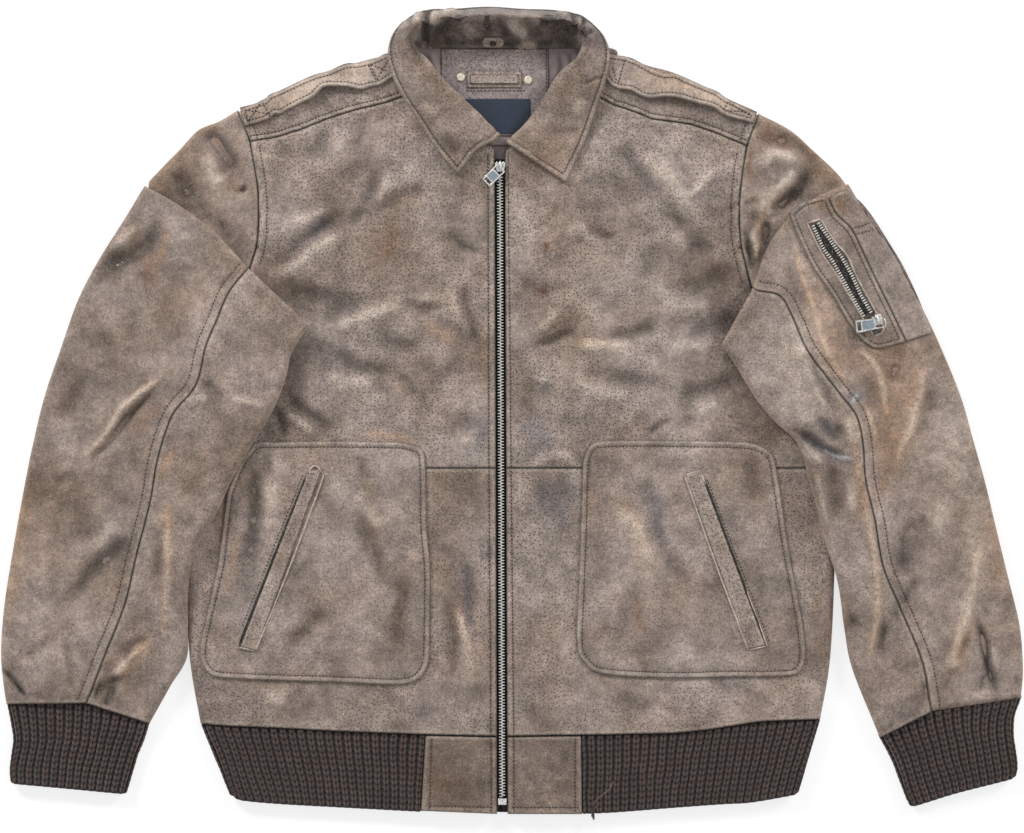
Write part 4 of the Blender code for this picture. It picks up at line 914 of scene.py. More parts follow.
# Marks: colour, strength, half width and points.
BODY_MARKS = (
    (RUST, 0.6, 6, ((-108, 178), (-112, 162), (-118, 136))),
    (BROWN, 0.5, 14, ((-92, 206), (-122, 160), (-134, 116))),
    (BLUE, 0.45, 6, ((-168, 180), (-180, 170), (-194, 160))),
    (RUST, 0.9, 2.6, ((30, 157), (33, 148))),
    (RUST, 0.8, 3.2, ((20, 114), (36, 110))),
    (BROWN, 0.7, 3, ((42, 196), (36, 178))),
    (BROWN, 0.6, 9, ((-76, 208), (-98, 198), (-118, 196))),
    (PALE, 0.9, 1.5, ((18, 37), (24, 30), (36, 29))),
    (PALE, 0.8, 1.4, ((-78, 92), (-66, 92), (-60, 100))),
    (BLUE, 0.6, 3, ((34, 28), (27, 18))),
    (TAN, 0.4, 6, ((-84, 84), (-66, 72), (-50, 60))),
    (TAN, 0.45, 5, ((54, 62), (76, 64), (98, 60))),
    (TAN, 0.45, 4, ((-146, -20), (-112, -23), (-78, -32))),
    (BROWN, 0.55, 7, ((-144, -36), (-133, -68), (-128, -104), (-120, -148), (-112, -170))),
    (BROWN, 0.65, 7, ((-104, -128), (-101, -168), (-107, -202), (-100, -232))),
    (BROWN, 0.5, 8, ((-214, -224), (-187, -197), (-168, -176))),
    # Painted shade in the trough of the crease under it.
    (DARK, 0.4, 9, ((-242, -34), (-238, -72), (-239, -112), (-251, -156))),
    (TAN, 0.3, 6, ((-253, -106), (-258, -140), (-264, -176))),
    (TAN, 0.5, 3.5, ((-54, -170), (-42, -216), (-37, -258))),
    (BROWN, 0.65, 7, ((-66, -158), (-55, -207), (-54, -256))),
    (BLUE, 0.45, 5, ((-42, -128), (-39, -194), (-30, -220))),
    (BLUE, 0.35, 9, ((-32, 6), (-29, -58))),
    (BLUE, 0.4, 10, ((10, -8), (26, -22), (44, -30))),
    (BLUE, 0.35, 10, ((34, -58), (40, -90), (48, -118))),
    (PALE, 0.4, 8, ((4, 214), (10, 180), (22, 160))),
    (RUST, 0.45, 6, ((119, -166), (116, -186), (120, -208))),
    (TAN, 0.35, 10, ((92, -66), (114, -104), (124, -136), (118, -164))),
    (BROWN, 0.5, 12, ((60, -200), (78, -204), (94, -194))),
    (BROWN, 0.55, 8, ((220, -28), (226, -64), (230, -98))),
    (BLUE, 0.35, 9, ((130, -62), (134, -96), (140, -128))),
    (DARK, 0.25, 11, ((146, -186), (138, -206), (134, -230))),
    (BROWN, 0.5, 12, ((270, -136), (286, -190), (284, -240))),
    (BROWN, 0.6, 8, ((-274, -70), (-270, -100), (-266, -136))),
    (BROWN, 0.4, 12, ((-280, -180), (-262, -220), (-240, -270))),
    # Painted shadow of the sleeves on the chest beside their edges, in this line and the next two.
    (DARK, 0.35, 16, ((-300, 130), (-240, 112), (-170, 100), (-150, 60))),
    (DARK, 0.5, 16, ((-180, 84), (-196, 50), (-212, 0), (-224, -40))),
    (DARK, 0.6, 17, ((240, 126), (208, 104), (202, 70), (222, 28), (262, -20))),
    (BROWN, 0.3, 14, ((-60, 20), (-90, 60), (-60, 130))),
)
# The DARK and BLACK marks here lie in troughs of SLEEVE_CREASES, along folds and between armholes and folds: they are
# painted shade.
SLEEVE_MARKS = (
    (PALE, 0.3, 20, ((222, 70), (250, 44), (262, 4), (286, -30))),
    (PALE, 0.35, 16, ((262, 110), (276, 60), (300, -10))),
    (SAND, 0.5, 22, ((330, 80), (350, 40), (350, -10), (340, -60))),
    (PALE, 0.3, 20, ((400, 40), (420, -30), (436, -110), (446, -190))),
    (DARK, 0.5, 9, ((-294, 261), (-273, 249), (-262, 232), (-245, 224))),
    (RUST, 0.5, 8, ((-302, 258), (-282, 266), (-268, 268))),
    (DARK, 0.5, 10, ((-320, 226), (-304, 208), (-290, 198), (-280, 190))),
    # Painted shadow of the folded sleeve on its head, along the fold.
    (DARK, 0.65, 9, ((-336, 208), (-318, 198), (-300, 192), (-282, 184), (-262, 166), (-246, 146), (-238, 134))),
    (DARK, 0.9, 4, ((-251, 208), (-247, 202))),
    (RUST, 0.4, 6, ((-266, 218), (-250, 200))),
    (RUST, 0.5, 7, ((-354, 178), (-349, 168), (-352, 154))),
    (TAN, 0.5, 4, ((-322, 184), (-320, 160), (-328, 132))),
    (RUST, 0.4, 10, ((-328, 156), (-335, 130), (-338, 106))),
    (DARK, 0.45, 8, ((-323, 190), (-329, 167), (-340, 152), (-362, 137), (-390, 122))),
    (TAN, 0.55, 3.5, ((-308, 42), (-337, 22), (-360, 3), (-380, -28), (-400, -44))),
    (DARK, 0.45, 4, ((-326, 22), (-344, 4), (-361, -12), (-376, -34))),
    (RUST, 0.35, 10, ((-356, -20), (-340, -6), (-322, 10))),
    (TAN, 0.65, 4, ((-319, -76), (-317, -110), (-319, -168))),
    (TAN, 0.6, 2.2, ((-318, -150), (-321, -185), (-320, -215))),
    (TAN, 0.45, 4, ((-310, -32), (-320, -50), (-328, -66))),
    (TAN, 0.5, 5, ((-334, -204), (-352, -232), (-370, -250))),
    (DARK, 0.7, 3, ((-358, -242), (-380, -256), (-394, -270))),
    (DARK, 0.7, 2.5, ((-367, -250), (-378, -278))),
    (BLACK, 0.9, 1.8, ((-480, -230), (-462, -250), (-444, -270))),
    (BROWN, 0.4, 8, ((-474, -246), (-466, -262))),
    (PALE, 0.7, 1.6, ((-446, -170), (-438, -178), (-428, -188))),
    (BROWN, 0.5, 12, ((-390, 64), (-410, 20), (-424, -20))),
    (BROWN, 0.4, 12, ((-296, 58), (-310, 90), (-306, 120))),
    (BROWN, 0.45, 12, ((-366, -66), (-340, -54), (-320, -44))),
    (DARK, 0.35, 8, ((-346, -104), (-369, -131), (-387, -147), (-402, -165), (-420, -186))),
    (BROWN, 0.4, 9, ((-322, -112), (-330, -150), (-326, -180))),
    (TAN, 0.4, 10, ((-450, -60), (-462, -130), (-470, -200))),
    (RUST, 0.6, 9, ((222, 264), (243, 253), (264, 246))),
    (BROWN, 0.6, 13, ((262, 252), (290, 222), (310, 196))),
    (RUST, 0.55, 9, ((270, 192), (294, 190), (320, 184))),
    # Painted shade in the valley under the cap's fold.
    (DARK, 0.7, 7, ((276, 230), (270, 212), (256, 199), (245, 188), (237, 176))),
    (BROWN, 0.7, 9, ((240, 256), (268, 246), (284, 226), (284, 200))),
    (RUST, 0.5, 4, ((224, 252), (219, 230), (223, 208))),
    # Painted shade between the armhole and the cap's fold, in this line and the next two.
    (BLACK, 0.6, 6, ((216, 178), (220, 152), (225, 128))),
    (DARK, 0.6, 6, ((214, 192), (224, 176), (222, 156))),
    (BLACK, 0.75, 4, ((237, 182), (236, 160), (231, 136))),
    (TAN, 0.5, 3, ((266, 228), (258, 212), (246, 201), (237, 189), (229, 176), (226, 150), (224, 128))),
    (TAN, 0.7, 2.6, ((256, 172), (266, 128), (275, 104), (284, 73), (294, 47), (314, 18))),
    (SAND, 0.4, 14, ((262, 150), (282, 96), (298, 54), (334, 26))),
    (TAN, 0.7, 2.6, ((308, 60), (331, 48), (341, 30), (345, 6), (354, -8))),
    (TAN, 0.7, 2.2, ((320, 14), (329, -2), (335, -23), (340, -32))),
    (TAN, 0.7, 2.6, ((375, 56), (379, 26), (374, 5), (370, -14), (361, -33), (352, -64))),
    (SAND, 0.5, 10, ((378, 46), (372, 20), (366, -8))),
    (SAND, 0.45, 10, ((352, -10), (346, -56), (336, -96))),
    (SAND, 0.45, 8, ((314, -4), (320, -60), (330, -116))),
    (TAN, 0.6, 4, ((322, -58), (330, -109), (336, -141), (338, -185), (334, -211), (324, -254))),
    (TAN, 0.6, 3, ((438, -98), (430, -141), (425, -172), (418, -197), (407, -234), (397, -262))),
    (SAND, 0.45, 9, ((440, -84), (450, -130), (454, -176))),
    (SAND, 0.5, 8, ((426, -184), (414, -220), (418, -246))),
    (BLUE, 0.75, 6, ((304, 6), (314, 12), (328, 18))),
    (WHITE, 0.9, 1.5, ((311, 6), (320, 17))),
    (BLUE, 0.8, 5, ((262, -20), (278, -29), (292, -37), (304, -44), (320, -44))),
    (WHITE, 0.7, 1.4, ((284, -33), (298, -41), (316, -43))),
    (BLUE, 0.5, 5, ((278, 0), (292, -18), (302, -26))),
    (DARK, 0.85, 2.6, ((428, -186), (437, -212), (441, -236), (451, -270))),
    (DARK, 0.6, 4, ((252, -12), (271, -24), (283, -32))),
    (DARK, 0.45, 8, ((322, -188), (304, -202))),
    (BROWN, 0.45, 7, ((294, -34), (297, -74), (304, -110))),
    (DARK, 0.35, 7, ((374, -92), (365, -127), (361, -160))),
)
STRAP_MARKS = (
    (TAN, 0.28, 9, ((-270, 262), (-200, 292), (-160, 308), (-90, 326))),
    (PALE, 0.42, 10, ((-260, 270), (-190, 298), (-100, 320))),
    (PALE, 0.42, 10, ((80, 324), (150, 302), (240, 268))),
    (TAN, 0.25, 9, ((100, 322), (160, 300), (240, 266))),
)
COLLAR_MARKS = (
    (BLACK, 0.55, 8, ((-122, 318), (-117, 338), (-108, 357), (-84, 371), (-40, 374), (20, 374), (66, 369),
                      (80, 358), (92, 336), (96, 318))),
    (DARK, 0.75, 13, ((-150, 352), (-70, 352), (0, 352), (60, 350), (140, 346))),
    # Painted shade along the foot of the stand.
    (BLACK, 0.7, 3.5, ((-100, 336), (-66, 342), (0, 341), (50, 342), (82, 338))),
    (BROWN, 0.6, 9, ((-98, 350), (-88, 322), (-62, 296), (-36, 270))),
    (BROWN, 0.5, 9, ((70, 340), (56, 306), (36, 284))),
    (RUST, 0.35, 8, ((92, 330), (84, 300), (80, 288))),
    # Painted shade in the troughs of the collar's creases, in this line and the next.
    (DARK, 0.4, 5, ((-96, 344), (-86, 326), (-78, 316))),
    (DARK, 0.35, 8, ((-62, 254), (-54, 240), (-46, 236))),
)


def hide(p, seed, marks=BODY_MARKS, brown=0.0, pores=1.0, edges=(), rows=(), relief=None, rolled=()):
    """The leather's colour at each point, with its pores' strength: uneven, browned, worn and marked. Some marks, the
    relief, the sewn edges and the rows of stitches add painted shade, and the relief adds painted highlight.
    """
    x, y = p[:, 0], p[:, 1]
    warm = ramp(0.25 + brown + 0.5 * fractal(x, y, 95, 4, seed))[:, None]
    colour = TAUPE * (1 - warm) + BROWN * warm
    colour = colour * (1 + 0.34 * fractal(x, y, 30, 4, seed + 7) + 0.2 * fractal(x, y, 110, 2, seed + 9))[:, None]
    for paint, *mark in marks:
        share = creased(p, [mark]) * (1 + 0.5 * fractal(x, y, 9, 3, seed + 5))
        share = np.clip(share, 0, 1)[:, None]
        colour = colour * (1 - share) + paint * share
    if relief is not None:
        # Painted shade in the creases' troughs and painted highlight on their ridges, from the relief's height.
        colour = colour * np.clip(1 + 0.13 * relief, 0.5, 1.2)[:, None]
        # The pale on the highest ridges is painted highlight, with some wear.
        worn = np.clip(0.3 * (relief - 0.6), 0, 0.75)[:, None]
        colour = colour * (1 - worn) + PALE * worn
    if len(edges):
        distance = nearest_of(p, edges, 8)[0]
        worn = 0.28 * np.exp(-(((distance - 2.0) / 1.4) ** 2)) * (1 + 0.6 * fractal(x, y, 12, 2, seed + 3))
        worn = np.clip(worn, 0, 1)[:, None]
        # The pale band beside a sewn edge is wear. The dark line right on the edge is painted shade in the seam.
        colour = (colour * (1 - worn) + PALE * worn) * (1 - 0.7 * np.exp(-((distance / 0.9) ** 2)))[:, None]
    if len(rolled):
        worn = 0.16 * np.exp(-((nearest_of(p, rolled, 14)[0] / 4.0) ** 2))[:, None]
        colour = colour * (1 - worn) + TAN * worn
    if len(rows):
        # Painted shade in the channel of each row of stitches.
        colour = colour * (1 - 0.36 * np.exp(-((nearest_of(p, rows, 4)[0] / 0.9) ** 2)))[:, None]
    return np.column_stack([np.clip(colour, 0.01, 1), np.full(len(p), pores)])


# Stitches --------------------------------------------------------------------------------------------------

THREAD = Look("thread", 0.85, sheen=0.2)
THREAD.finish(THREAD.mix(THREAD.noise(2.5), linear(34, 26, 23), linear(62, 50, 43)))
STITCH, THICK = (3.3, 2.3), 0.5  # the pitch and length of a stitch, and its radius
STITCH_SIDES, STITCH_RINGS = 5, 5
CORD_SIDES = 8


def tube_faces(rings, sides, start=0):
    """The faces of a closed tube, whose rings of points follow one another from start."""
    last = start + sides * (rings - 1)
    faces = [
        (first + k, first + (k + 1) % sides, first + sides + (k + 1) % sides, first + sides + k)
        for first in range(start, last, sides) for k in range(sides)
    ]
    return faces + [tuple(range(start, start + sides))[::-1], tuple(range(last, last + sides))]


def stitched(name, piece, lines):
    """Rows of stitches laid on what a piece shows from above along some plan lines."""
    tree = tree_over(piece)
    ring = [(cos(2 * pi * k / STITCH_SIDES), sin(2 * pi * k / STITCH_SIDES)) for k in range(STITCH_SIDES)]
    points, faces = [], []
    for line in lines:
        along = lengths_along(line)
        for place in np.arange(STITCH[0] / 2, along[-1], STITCH[0]):
            ends = [
                np.array([np.interp(place + d, along, line[:, axis]) for axis in (0, 1)])
                for d in (-STITCH[1] / 2, STITCH[1] / 2)
            ]
            hits = [tree.ray_cast(Vector((*end, SKY)), Vector((0, 0, -1))) for end in ends]
            if hits[0][0] is None or hits[1][0] is None or abs(hits[0][0].z - hits[1][0].z) > 1.5:
                continue
            a, b = np.array(hits[0][0]), np.array(hits[1][0])
            up = unit(np.array(hits[0][1]) + np.array(hits[1][1]))
            way = unit(b - a)
            side = unit(np.cross(way, up))
            faces += tube_faces(STITCH_RINGS, STITCH_SIDES, len(points))
            for t in np.linspace(-1, 1, STITCH_RINGS):
                middle = (a + b) / 2 + (b - a) / 2 * t + up * (0.12 - 0.5 * t**4)
                radius = THICK * (1 - 0.45 * t**4)
                points += [middle + (side * c + up * s) * radius for c, s in ring]
    if points:
        mesh_of("stitch_" + name, np.array(points), faces, THREAD.made, "leather")


def cut(piece, outline, on=("back_panel",), layers=1):
    """Measures a piece as a sheet: the smallest rectangle round its outline, and its area, all round on a tube.
    Nothing is done with them.

    The loop on the hanger patch is a strip too narrow to be one.
    """
    outline, sizes = np.asarray(outline)[:, :2], []
    for turn in np.radians(np.arange(0, 90, 3)):
        sizes.append(np.ptp(outline @ np.array([[cos(turn), -sin(turn)], [sin(turn), cos(turn)]]), axis=0))
    width, length = sorted(min(sizes, key=np.prod) * MM)
    if width >= 0.01:
        layers * abs(area_of(outline)) * MM * MM
        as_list(on)


# Fronts ----------------------------------------------------------------------------------------------------

pieces = {}
ARMHOLES = {
    "right": ((-254, 278), (-243, 252), (-235, 206), (-234, 175), (-236, 152), (-243, 132)),
    "left": ((228, 275), (217, 245), (211, 204), (210, 175), (212, 152), (222, 114)),
}


ARMHOLE_ROW = 7.4  # from the armhole to the row beside it


def inside_row(side, start, end):
    """A row of stitches on the body, beside the armhole, between two heights."""
    line = moved(curved(ARMHOLES[side], 3), ARMHOLE_ROW if side == "right" else -ARMHOLE_ROW)
    return line[(line[:, 1] < start) & (line[:, 1] > end)]


FRONT_ROWS = {
    "right_front_upper": [np.array(((-22.3, 238), (-21.3, -52))), inside_row("right", 246, 134)],
    "left_front_upper": [np.array(((-3.7, 238), (-0.8, -52))), inside_row("left", 242, 116)],
    "right_front_lower": [np.array(((-21.3, -54), (-19.6, -299)))],
    "left_front_lower": [np.array(((-0.8, -54), (1.6, -299)))],
    "right_yoke": [inside_row("right", 277, 250)],
    "left_yoke": [inside_row("left", 274, 246)],
}
for name in YOKES:
    lower = max(body_plans[name].lines(False), key=lambda line: lengths_along(line)[-1])
    FRONT_ROWS[name].append(moved(lower, 4.6))


def sewn(name, points, faces, seed, rows=(), relief=None, key=None, **tints):
    """The made leather piece, with its rows of stitches. key is the node it stands for."""
    colours = hide(points, seed, rows=rows, relief=relief, **tints)
    made = mesh_of("cloth_" + name, points, faces, LEATHER, "leather", colours)
    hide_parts(key or name)
    pieces[name] = made
    if len(rows):
        stitched(name, made, rows)
    return made


FRONT_SEAM = (4.5, 2.2)  # width and drop of the upper fronts' sewn edges
FRONT_ROLL = (9.0, 6.6)  # and of a front's or a yoke's rolled edge
FRONT_FLOOR = 5.35  # the fronts' underside, clear of the back


def front(name, seed):
    plan, rows = body_plans[name], FRONT_ROWS[name]

    def top(p):
        drop = edge_drop(p, plan, *FRONT_ROLL, *(FRONT_SEAM if name in UPPER_FRONTS else SEAM))
        return body_level(p) - drop - grooves(p, rows)

    points, faces = slab_shell(plan, top, plane(FRONT_FLOOR))
    cut(sewn(name, points, faces, seed, rows, body_relief(points), edges=plan.lines(False)), plan.loop())


for seed, name in enumerate((*FRONTS, *YOKES)):
    front(name, 40 + seed)

# Sleeves ---------------------------------------------------------------------------------------------------

# Outlines of the sleeves' heads: round the shoulder, under the sleeve that is folded over, and up the armhole.
HEADS = {
    "right": (
        ((-254.5, 279.5), (-272, 269), (-291, 261), (-307, 244), (-320, 231), (-336, 214)),
        ((-336, 214), (-338, 190), (-352, 160), (-368, 128)),
        ((-368, 128), (-300, 86)),
        ((-300, 86), (-278, 98), (-262, 123), (-243.4, 132)),
        ((-243.4, 132), (-236.5, 152), (-234.4, 175), (-235.4, 206), (-243.4, 252), (-254.5, 279.5)),
    ),
    "left": (
        ((228.5, 276.5), (258, 261), (277, 244), (308, 213), (318, 180), (336, 152)),
        ((336, 152), (330, 120), (290, 80)),
        ((290, 80), (264, 98), (242, 119), (222.4, 114)),
        ((222.4, 114), (212.4, 152), (210.4, 175), (211.4, 204), (217.4, 245), (228.5, 276.5)),
    ),
}


class Sleeve:
    """The levels and plans of one sleeve."""

    def __init__(self, side):
        names = [side + "_top_sleeve", side + "_under_sleeve"]
        cuff = loops[side + "_cuff"][0]
        halves = [loops[name][0] for name in names]
        level = Field(names, halves, blur=30)
        self.plans = []
        for own, other in zip(halves, halves[::-1]):
            beside = [shut(line) for line in (other, cuff)]

            def kind(middle, rolled):
                return nearest_of(middle[None, :2], beside)[0][0] > 2.5

            self.plans.append(plan_of(own, level, kind, 60.0))
        edges = [line for plan in self.plans for line in plan.lines(True)]
        self.folds = [max(plan.lines(True), key=lambda line: line[len(line) // 2, 1]) for plan in self.plans]
        self.field = Field(names, halves, edges, 8.0, 8.0)
        self.edges = edges
        self.seams = [line for plan in self.plans for line in plan.lines(False)]

    def halves(self, p):
        """The middle height and the half thickness, away from the rolled edges."""
        top = self.field(p)
        low = top - 6.6 - 7.0 * smooth(nearest_of(p, self.folds)[0] / 32)
        low = np.clip(low - 1.7 * (1 - smooth((low - 1.7) / 3)), 0, None)
        return (top + low) / 2, (top - low) / 2

    def relief(self, p):
        x, y = p[:, 0], p[:, 1]
        total = DEPTH * creased(p, SLEEVE_CREASES)
        total += 0.7 * fractal(x, y, 55, 3, 21) + 0.3 * fractal(x, y + x * 0.3, 17, 3, 22)
        distance, along = nearest_of(p, self.seams)
        total -= 1.5 * quarter(distance / 2.6)
        total += 0.4 * fractal(along, 0 * along, 9, 2, 33) * np.exp(-distance / 8)
        return total * smooth(nearest_of(p, self.edges)[0] / 7)

    def top(self, p):
        middle, half = self.halves(p)
        distance = nearest_of(p, self.edges)[0]
        return middle + half * np.sqrt(1 - (1 - ramp(distance / half)) ** 2) + self.relief(p)


sleeves = {side: Sleeve(side) for side in SIDES}


def sleeve_half(side, number, name, seed):
    sleeve = sleeves[side]
    plan = sleeve.plans[number]
    rows = []
    for line in plan.lines(False):
        if number == 0 and lengths_along(line)[-1] > 60 and np.ptp(line[:, 1]) > 60:
            rows.append(moved(line, 8.4))
    points, faces = tube_shell(
        plan, lambda p: sleeve.halves(p)[0], lambda p: sleeve.halves(p)[1],
        lambda p: sleeve.relief(p) - grooves(p, rows),
    )
    made = sewn(
        name, points, faces, seed, rows, sleeve.relief(points), marks=SLEEVE_MARKS, edges=plan.lines(False),
        rolled=plan.lines(True), pores=0.15 if number == 0 else 0.55, brown=0.08,
    )
    cut(made, plan.loop(), (side + "_front_upper", side + "_pocket"), 2)


def head(side, seed):
    sleeve, name = sleeves[side], side + "_top_sleeve"
    chains = [(i == 0, curved(points, 2.0)) for i, points in enumerate(HEADS[side])]
    if area_of(np.vstack([points[:-1] for _rolled, points in chains])) < 0:
        chains = [(rolled, points[::-1]) for rolled, points in chains[::-1]]
    plan = Plan(chains)
    seen = loops[name][1]
    shoulder = plan.lines(True)
    field = Field([name], [seen], shoulder, 8.0, 6.0)
    covers = loops[name][0]

    def middle_and_half(p):
        top = field(p)
        hidden = within(p, covers)
        middle, half = sleeve.halves(p)
        distance = nearest_of(p, sleeve.edges)[0]
        under = middle - half * np.sqrt(1 - (1 - ramp(distance / half)) ** 2) - 0.9
        top = np.where(hidden, np.clip(np.minimum(top, under), 2, None), top)
        return top / 2, top / 2

    armhole = chains[-1 if side == "right" else 0][1]

    def relief(p):
        x, y = p[:, 0], p[:, 1]
        total = 0.5 * fractal(x, y, 40, 3, 26) + DEPTH * creased(p, SLEEVE_CREASES)
        total -= 2.2 * quarter(near(p, armhole)[0] / 5)
        seen_share = smooth((sleeve_gap(p) - 1) / 6)
        return total * smooth(nearest_of(p, shoulder)[0] / 7) * seen_share

    def sleeve_gap(p):
        return np.where(within(p, covers), 0, nearest_of(p, sleeve.folds)[0])

    points, faces = tube_shell(plan, lambda p: middle_and_half(p)[0], lambda p: middle_and_half(p)[1], relief)
    made = sewn(
        side + "_head", points, faces, seed, (), relief(points), name, marks=SLEEVE_MARKS, brown=0.3,
        edges=[armhole], rolled=shoulder, pores=0.1,
    )
    cut(made, plan.loop(), (side + "_front_upper",), 2)


for seed, side in enumerate(SIDES):
    sleeve_half(side, 0, side + "_top_sleeve", 60 + seed)
    sleeve_half(side, 1, side + "_under_sleeve", 64 + seed)
    head(side, 68 + seed)

# Pieces laid on -------------------------------------------------------------------------------------------


def laid(name, base, lift, thickness, seed, on, stitches=5.6, more_rows=(), relief=None, plan=None, **tints):
    """A patch, strap or strip that lies on what base gives, lift above it."""
    if plan is None:
        plan = plan_of(loops[name][0], Field([name], [loops[name][0]], blur=20), unrolled)
    lines = plan.lines(False)
    rows = [line[2:-2] for line in (moved(line, stitches) for line in lines) if len(line) > 8] if stitches else []
    rows = [line[nearest_of(line, lines, 12)[0] > stitches * 0.9] for line in rows]
    rows = [line for line in rows if len(line) > 2] + list(more_rows)

    def bottom(p):
        return base(p) + lift(p)

    def top(p):
        distance, along = nearest_of(p, lines)
        pucker = 0.25 * fractal(along, 0 * along, 7, 2, seed) * np.exp(-distance / 6) * smooth(distance / 2)
        rim = 0.5 * np.exp(-(((distance - 2.6) / 1.6) ** 2))
        fall = 0.9 * thickness * quarter(distance / 2.2)
        return bottom(p) + thickness - fall + pucker + rim - grooves(p, rows, 0.6)

    points, faces = slab_shell(plan, top, bottom)
    shade = None if relief is None else relief(points)
    cut(sewn(name, points, faces, seed, rows, shade, edges=lines, **tints), plan.loop(), on)


# The epaulettes, from the armhole along the lower edge to the collar and back over the shoulder's own edge.
EPAULETTES = {
    "right": (
        ((-247.6, 262.9), (-239.8, 265.1), (-223.9, 270.3), (-219.4, 274.7), (-213.8, 274.2), (-208.1, 277.6),
         (-199.1, 282.1), (-190.1, 286.6), (-183.4, 290), (-178.8, 294.5), (-173.2, 299.6), (-163, 300.1),
         (-151.8, 299.6), (-142.8, 297.3), (-137.2, 297.3), (-131.5, 299.6), (-121.4, 301.8), (-104, 313)),
        ((-104, 313), (-104, 330)),
        ((-104, 330), (-115.7, 331.7), (-126.9, 327), (-140.5, 323.2), (-154, 322.2), (-168.7, 316.2),
         (-183.4, 311.8), (-199.1, 305), (-213.8, 298), (-225.1, 293.2), (-230.7, 288), (-252, 281.4)),
        ((-252, 281.4), (-247.6, 262.9)),
    ),
    "left": (
        ((223.6, 266), (227, 277.4)),
        ((227, 277.4), (200, 289.6), (189.8, 296.6), (174, 303), (162.8, 307.8), (151.4, 313), (140.2, 313.4),
         (128.9, 317.8), (117.6, 324.2), (105.3, 328.8), (84, 332)),
        ((84, 332), (84, 310)),
        ((84, 310), (90.6, 302.1), (97.4, 298.2), (105.3, 297), (109.7, 296.5), (116.5, 292.5), (122.1, 289.7),
         (128.9, 288.6), (135.7, 289.7), (145.8, 290.2), (156, 288.6), (166.1, 285.8), (174, 283.5), (181.9, 281.8),
         (188.6, 279), (194.3, 274.4), (205.5, 270.5), (223.6, 266)),
    ),
}
# They stand off the yokes along the middle of their lower edges.
EPAULETTE_LIFT = (
    (4.2, 9, ((-226, 274), (-196, 286), (-172, 301), (-142, 300), (-116, 304))),
    (3.8, 9, ((90, 304), (122, 292), (158, 290), (204, 275), (226, 264))),
    (-2.0, 6, ((-182, 308), (-160, 309), (-150, 300))),
    (1.0, 6, ((-152, 318), (-134, 316), (-130, 304))),
    (-1.8, 4, ((112, 322), (110, 308), (116, 298))),
    (1.2, 5, ((102, 322), (102, 304))),
    (-1.2, 7, ((128, 306), (136, 294))),
)
STRAP_ROWS = {
    "right": (
        ((-230.7, 286.6), (-223.4, 271.9)), ((-249.9, 279), (-242, 264.6)), ((-248.1, 279), (-226.2, 275.3)),
        ((-243.7, 268.6), (-231.9, 286.1)), ((-133.2, 321), (-125.3, 305.8)), ((-131.4, 321), (-123.6, 306)),
        ((-130.9, 321), (-115.7, 314.8)), ((-125.3, 305.8), (-114.6, 324.9)),
    ),
    "left": (
        ((199.9, 286.4), (195.4, 277.9)), ((199.9, 286.4), (219.1, 274)), ((197.6, 277.9), (216.9, 277)),
        ((220, 276), (214.7, 267)), ((104.6, 325.6), (97.9, 302.6)), ((92.8, 318.4), (96.8, 304.9)),
    ),
}
# Each welt: its slit, drawn as a black cord that is painted shade for the opening, the cords round it, and the row of
# stitches outside.
WELTS = (
    ("right", ((-188.3, -57), (-220, -136), (-252, -217)),
     (((-175, -58), (-177, -68), (-206, -145), (-237, -221)), ((-252, -218), (-237, -221.5)),
      ((-189, -56), (-182, -50), (-175, -57))),
     ((-193, -58), (-250, -200))),
    ("left", ((176, -60), (205, -137), (233, -212)),
     (((159.5, -59), (188, -140), (218.4, -220.5)), ((159.5, -59), (173.7, -54.4)),
      ((218.4, -220.5), (235.5, -216.7)), ((174, -54.6), (205, -135), (236, -217))),
     ((180, -62), (238, -213))),
)


def cord(name, base, line, radius, paint, slot="leather"):
    """A cord laid along a plan line on what base shows from above, half sunk into it."""
    tree, points = tree_over(base), []
    for x, y in curved(line, 2.0):
        hit = tree.ray_cast(Vector((x, y, SKY)), Vector((0, 0, -1)))[0]
        points.append((x, y, hit.z if hit else (points[-1][2] if points else 18.0)))
    path = np.array(points)
    way = units(np.gradient(path, axis=0))
    side = units(np.cross(way, (0, 0, 1)))
    up = np.cross(side, way)
    size = radius * (1 - 0.7 * np.exp(-np.minimum(np.arange(len(path)), np.arange(len(path))[::-1])))
    ring = [(cos(2 * pi * k / CORD_SIDES), sin(2 * pi * k / CORD_SIDES)) for k in range(CORD_SIDES)]
    tube = np.concatenate([path[:, None] + (side * c + up * u)[:, None] * size[:, None, None] for c, u in ring], 1)
    count = CORD_SIDES * len(path)
    colours = np.column_stack([np.tile(paint, (count, 1)), np.zeros(count)])
    return mesh_of(name, tube.reshape(-1, 3), tube_faces(len(path), CORD_SIDES), LEATHER, slot, colours)


def eased(loop, reach):
    """A closed outline with its corners rounded over about reach."""
    line = curved(shut(loop), 1.0)[:-1]
    near_ones = np.arange(-3 * reach, 3 * reach + 1)
    weights = np.exp(-0.5 * (near_ones / reach) ** 2)
    eased_line = sum(np.roll(line, -k, 0) * w for k, w in zip(near_ones, weights / weights.sum()))
    return shut(eased_line)


def pocket_puff(side):
    """How far a pocket stands off its front: it swells away from its edge."""
    loop = loops[side + "_pocket"][0][:, :2]
    closed = shut(loop)
    return lambda p: GAP + 1.2 * smooth((near(p, closed)[0] - 8) / 50) * within(p, loop)


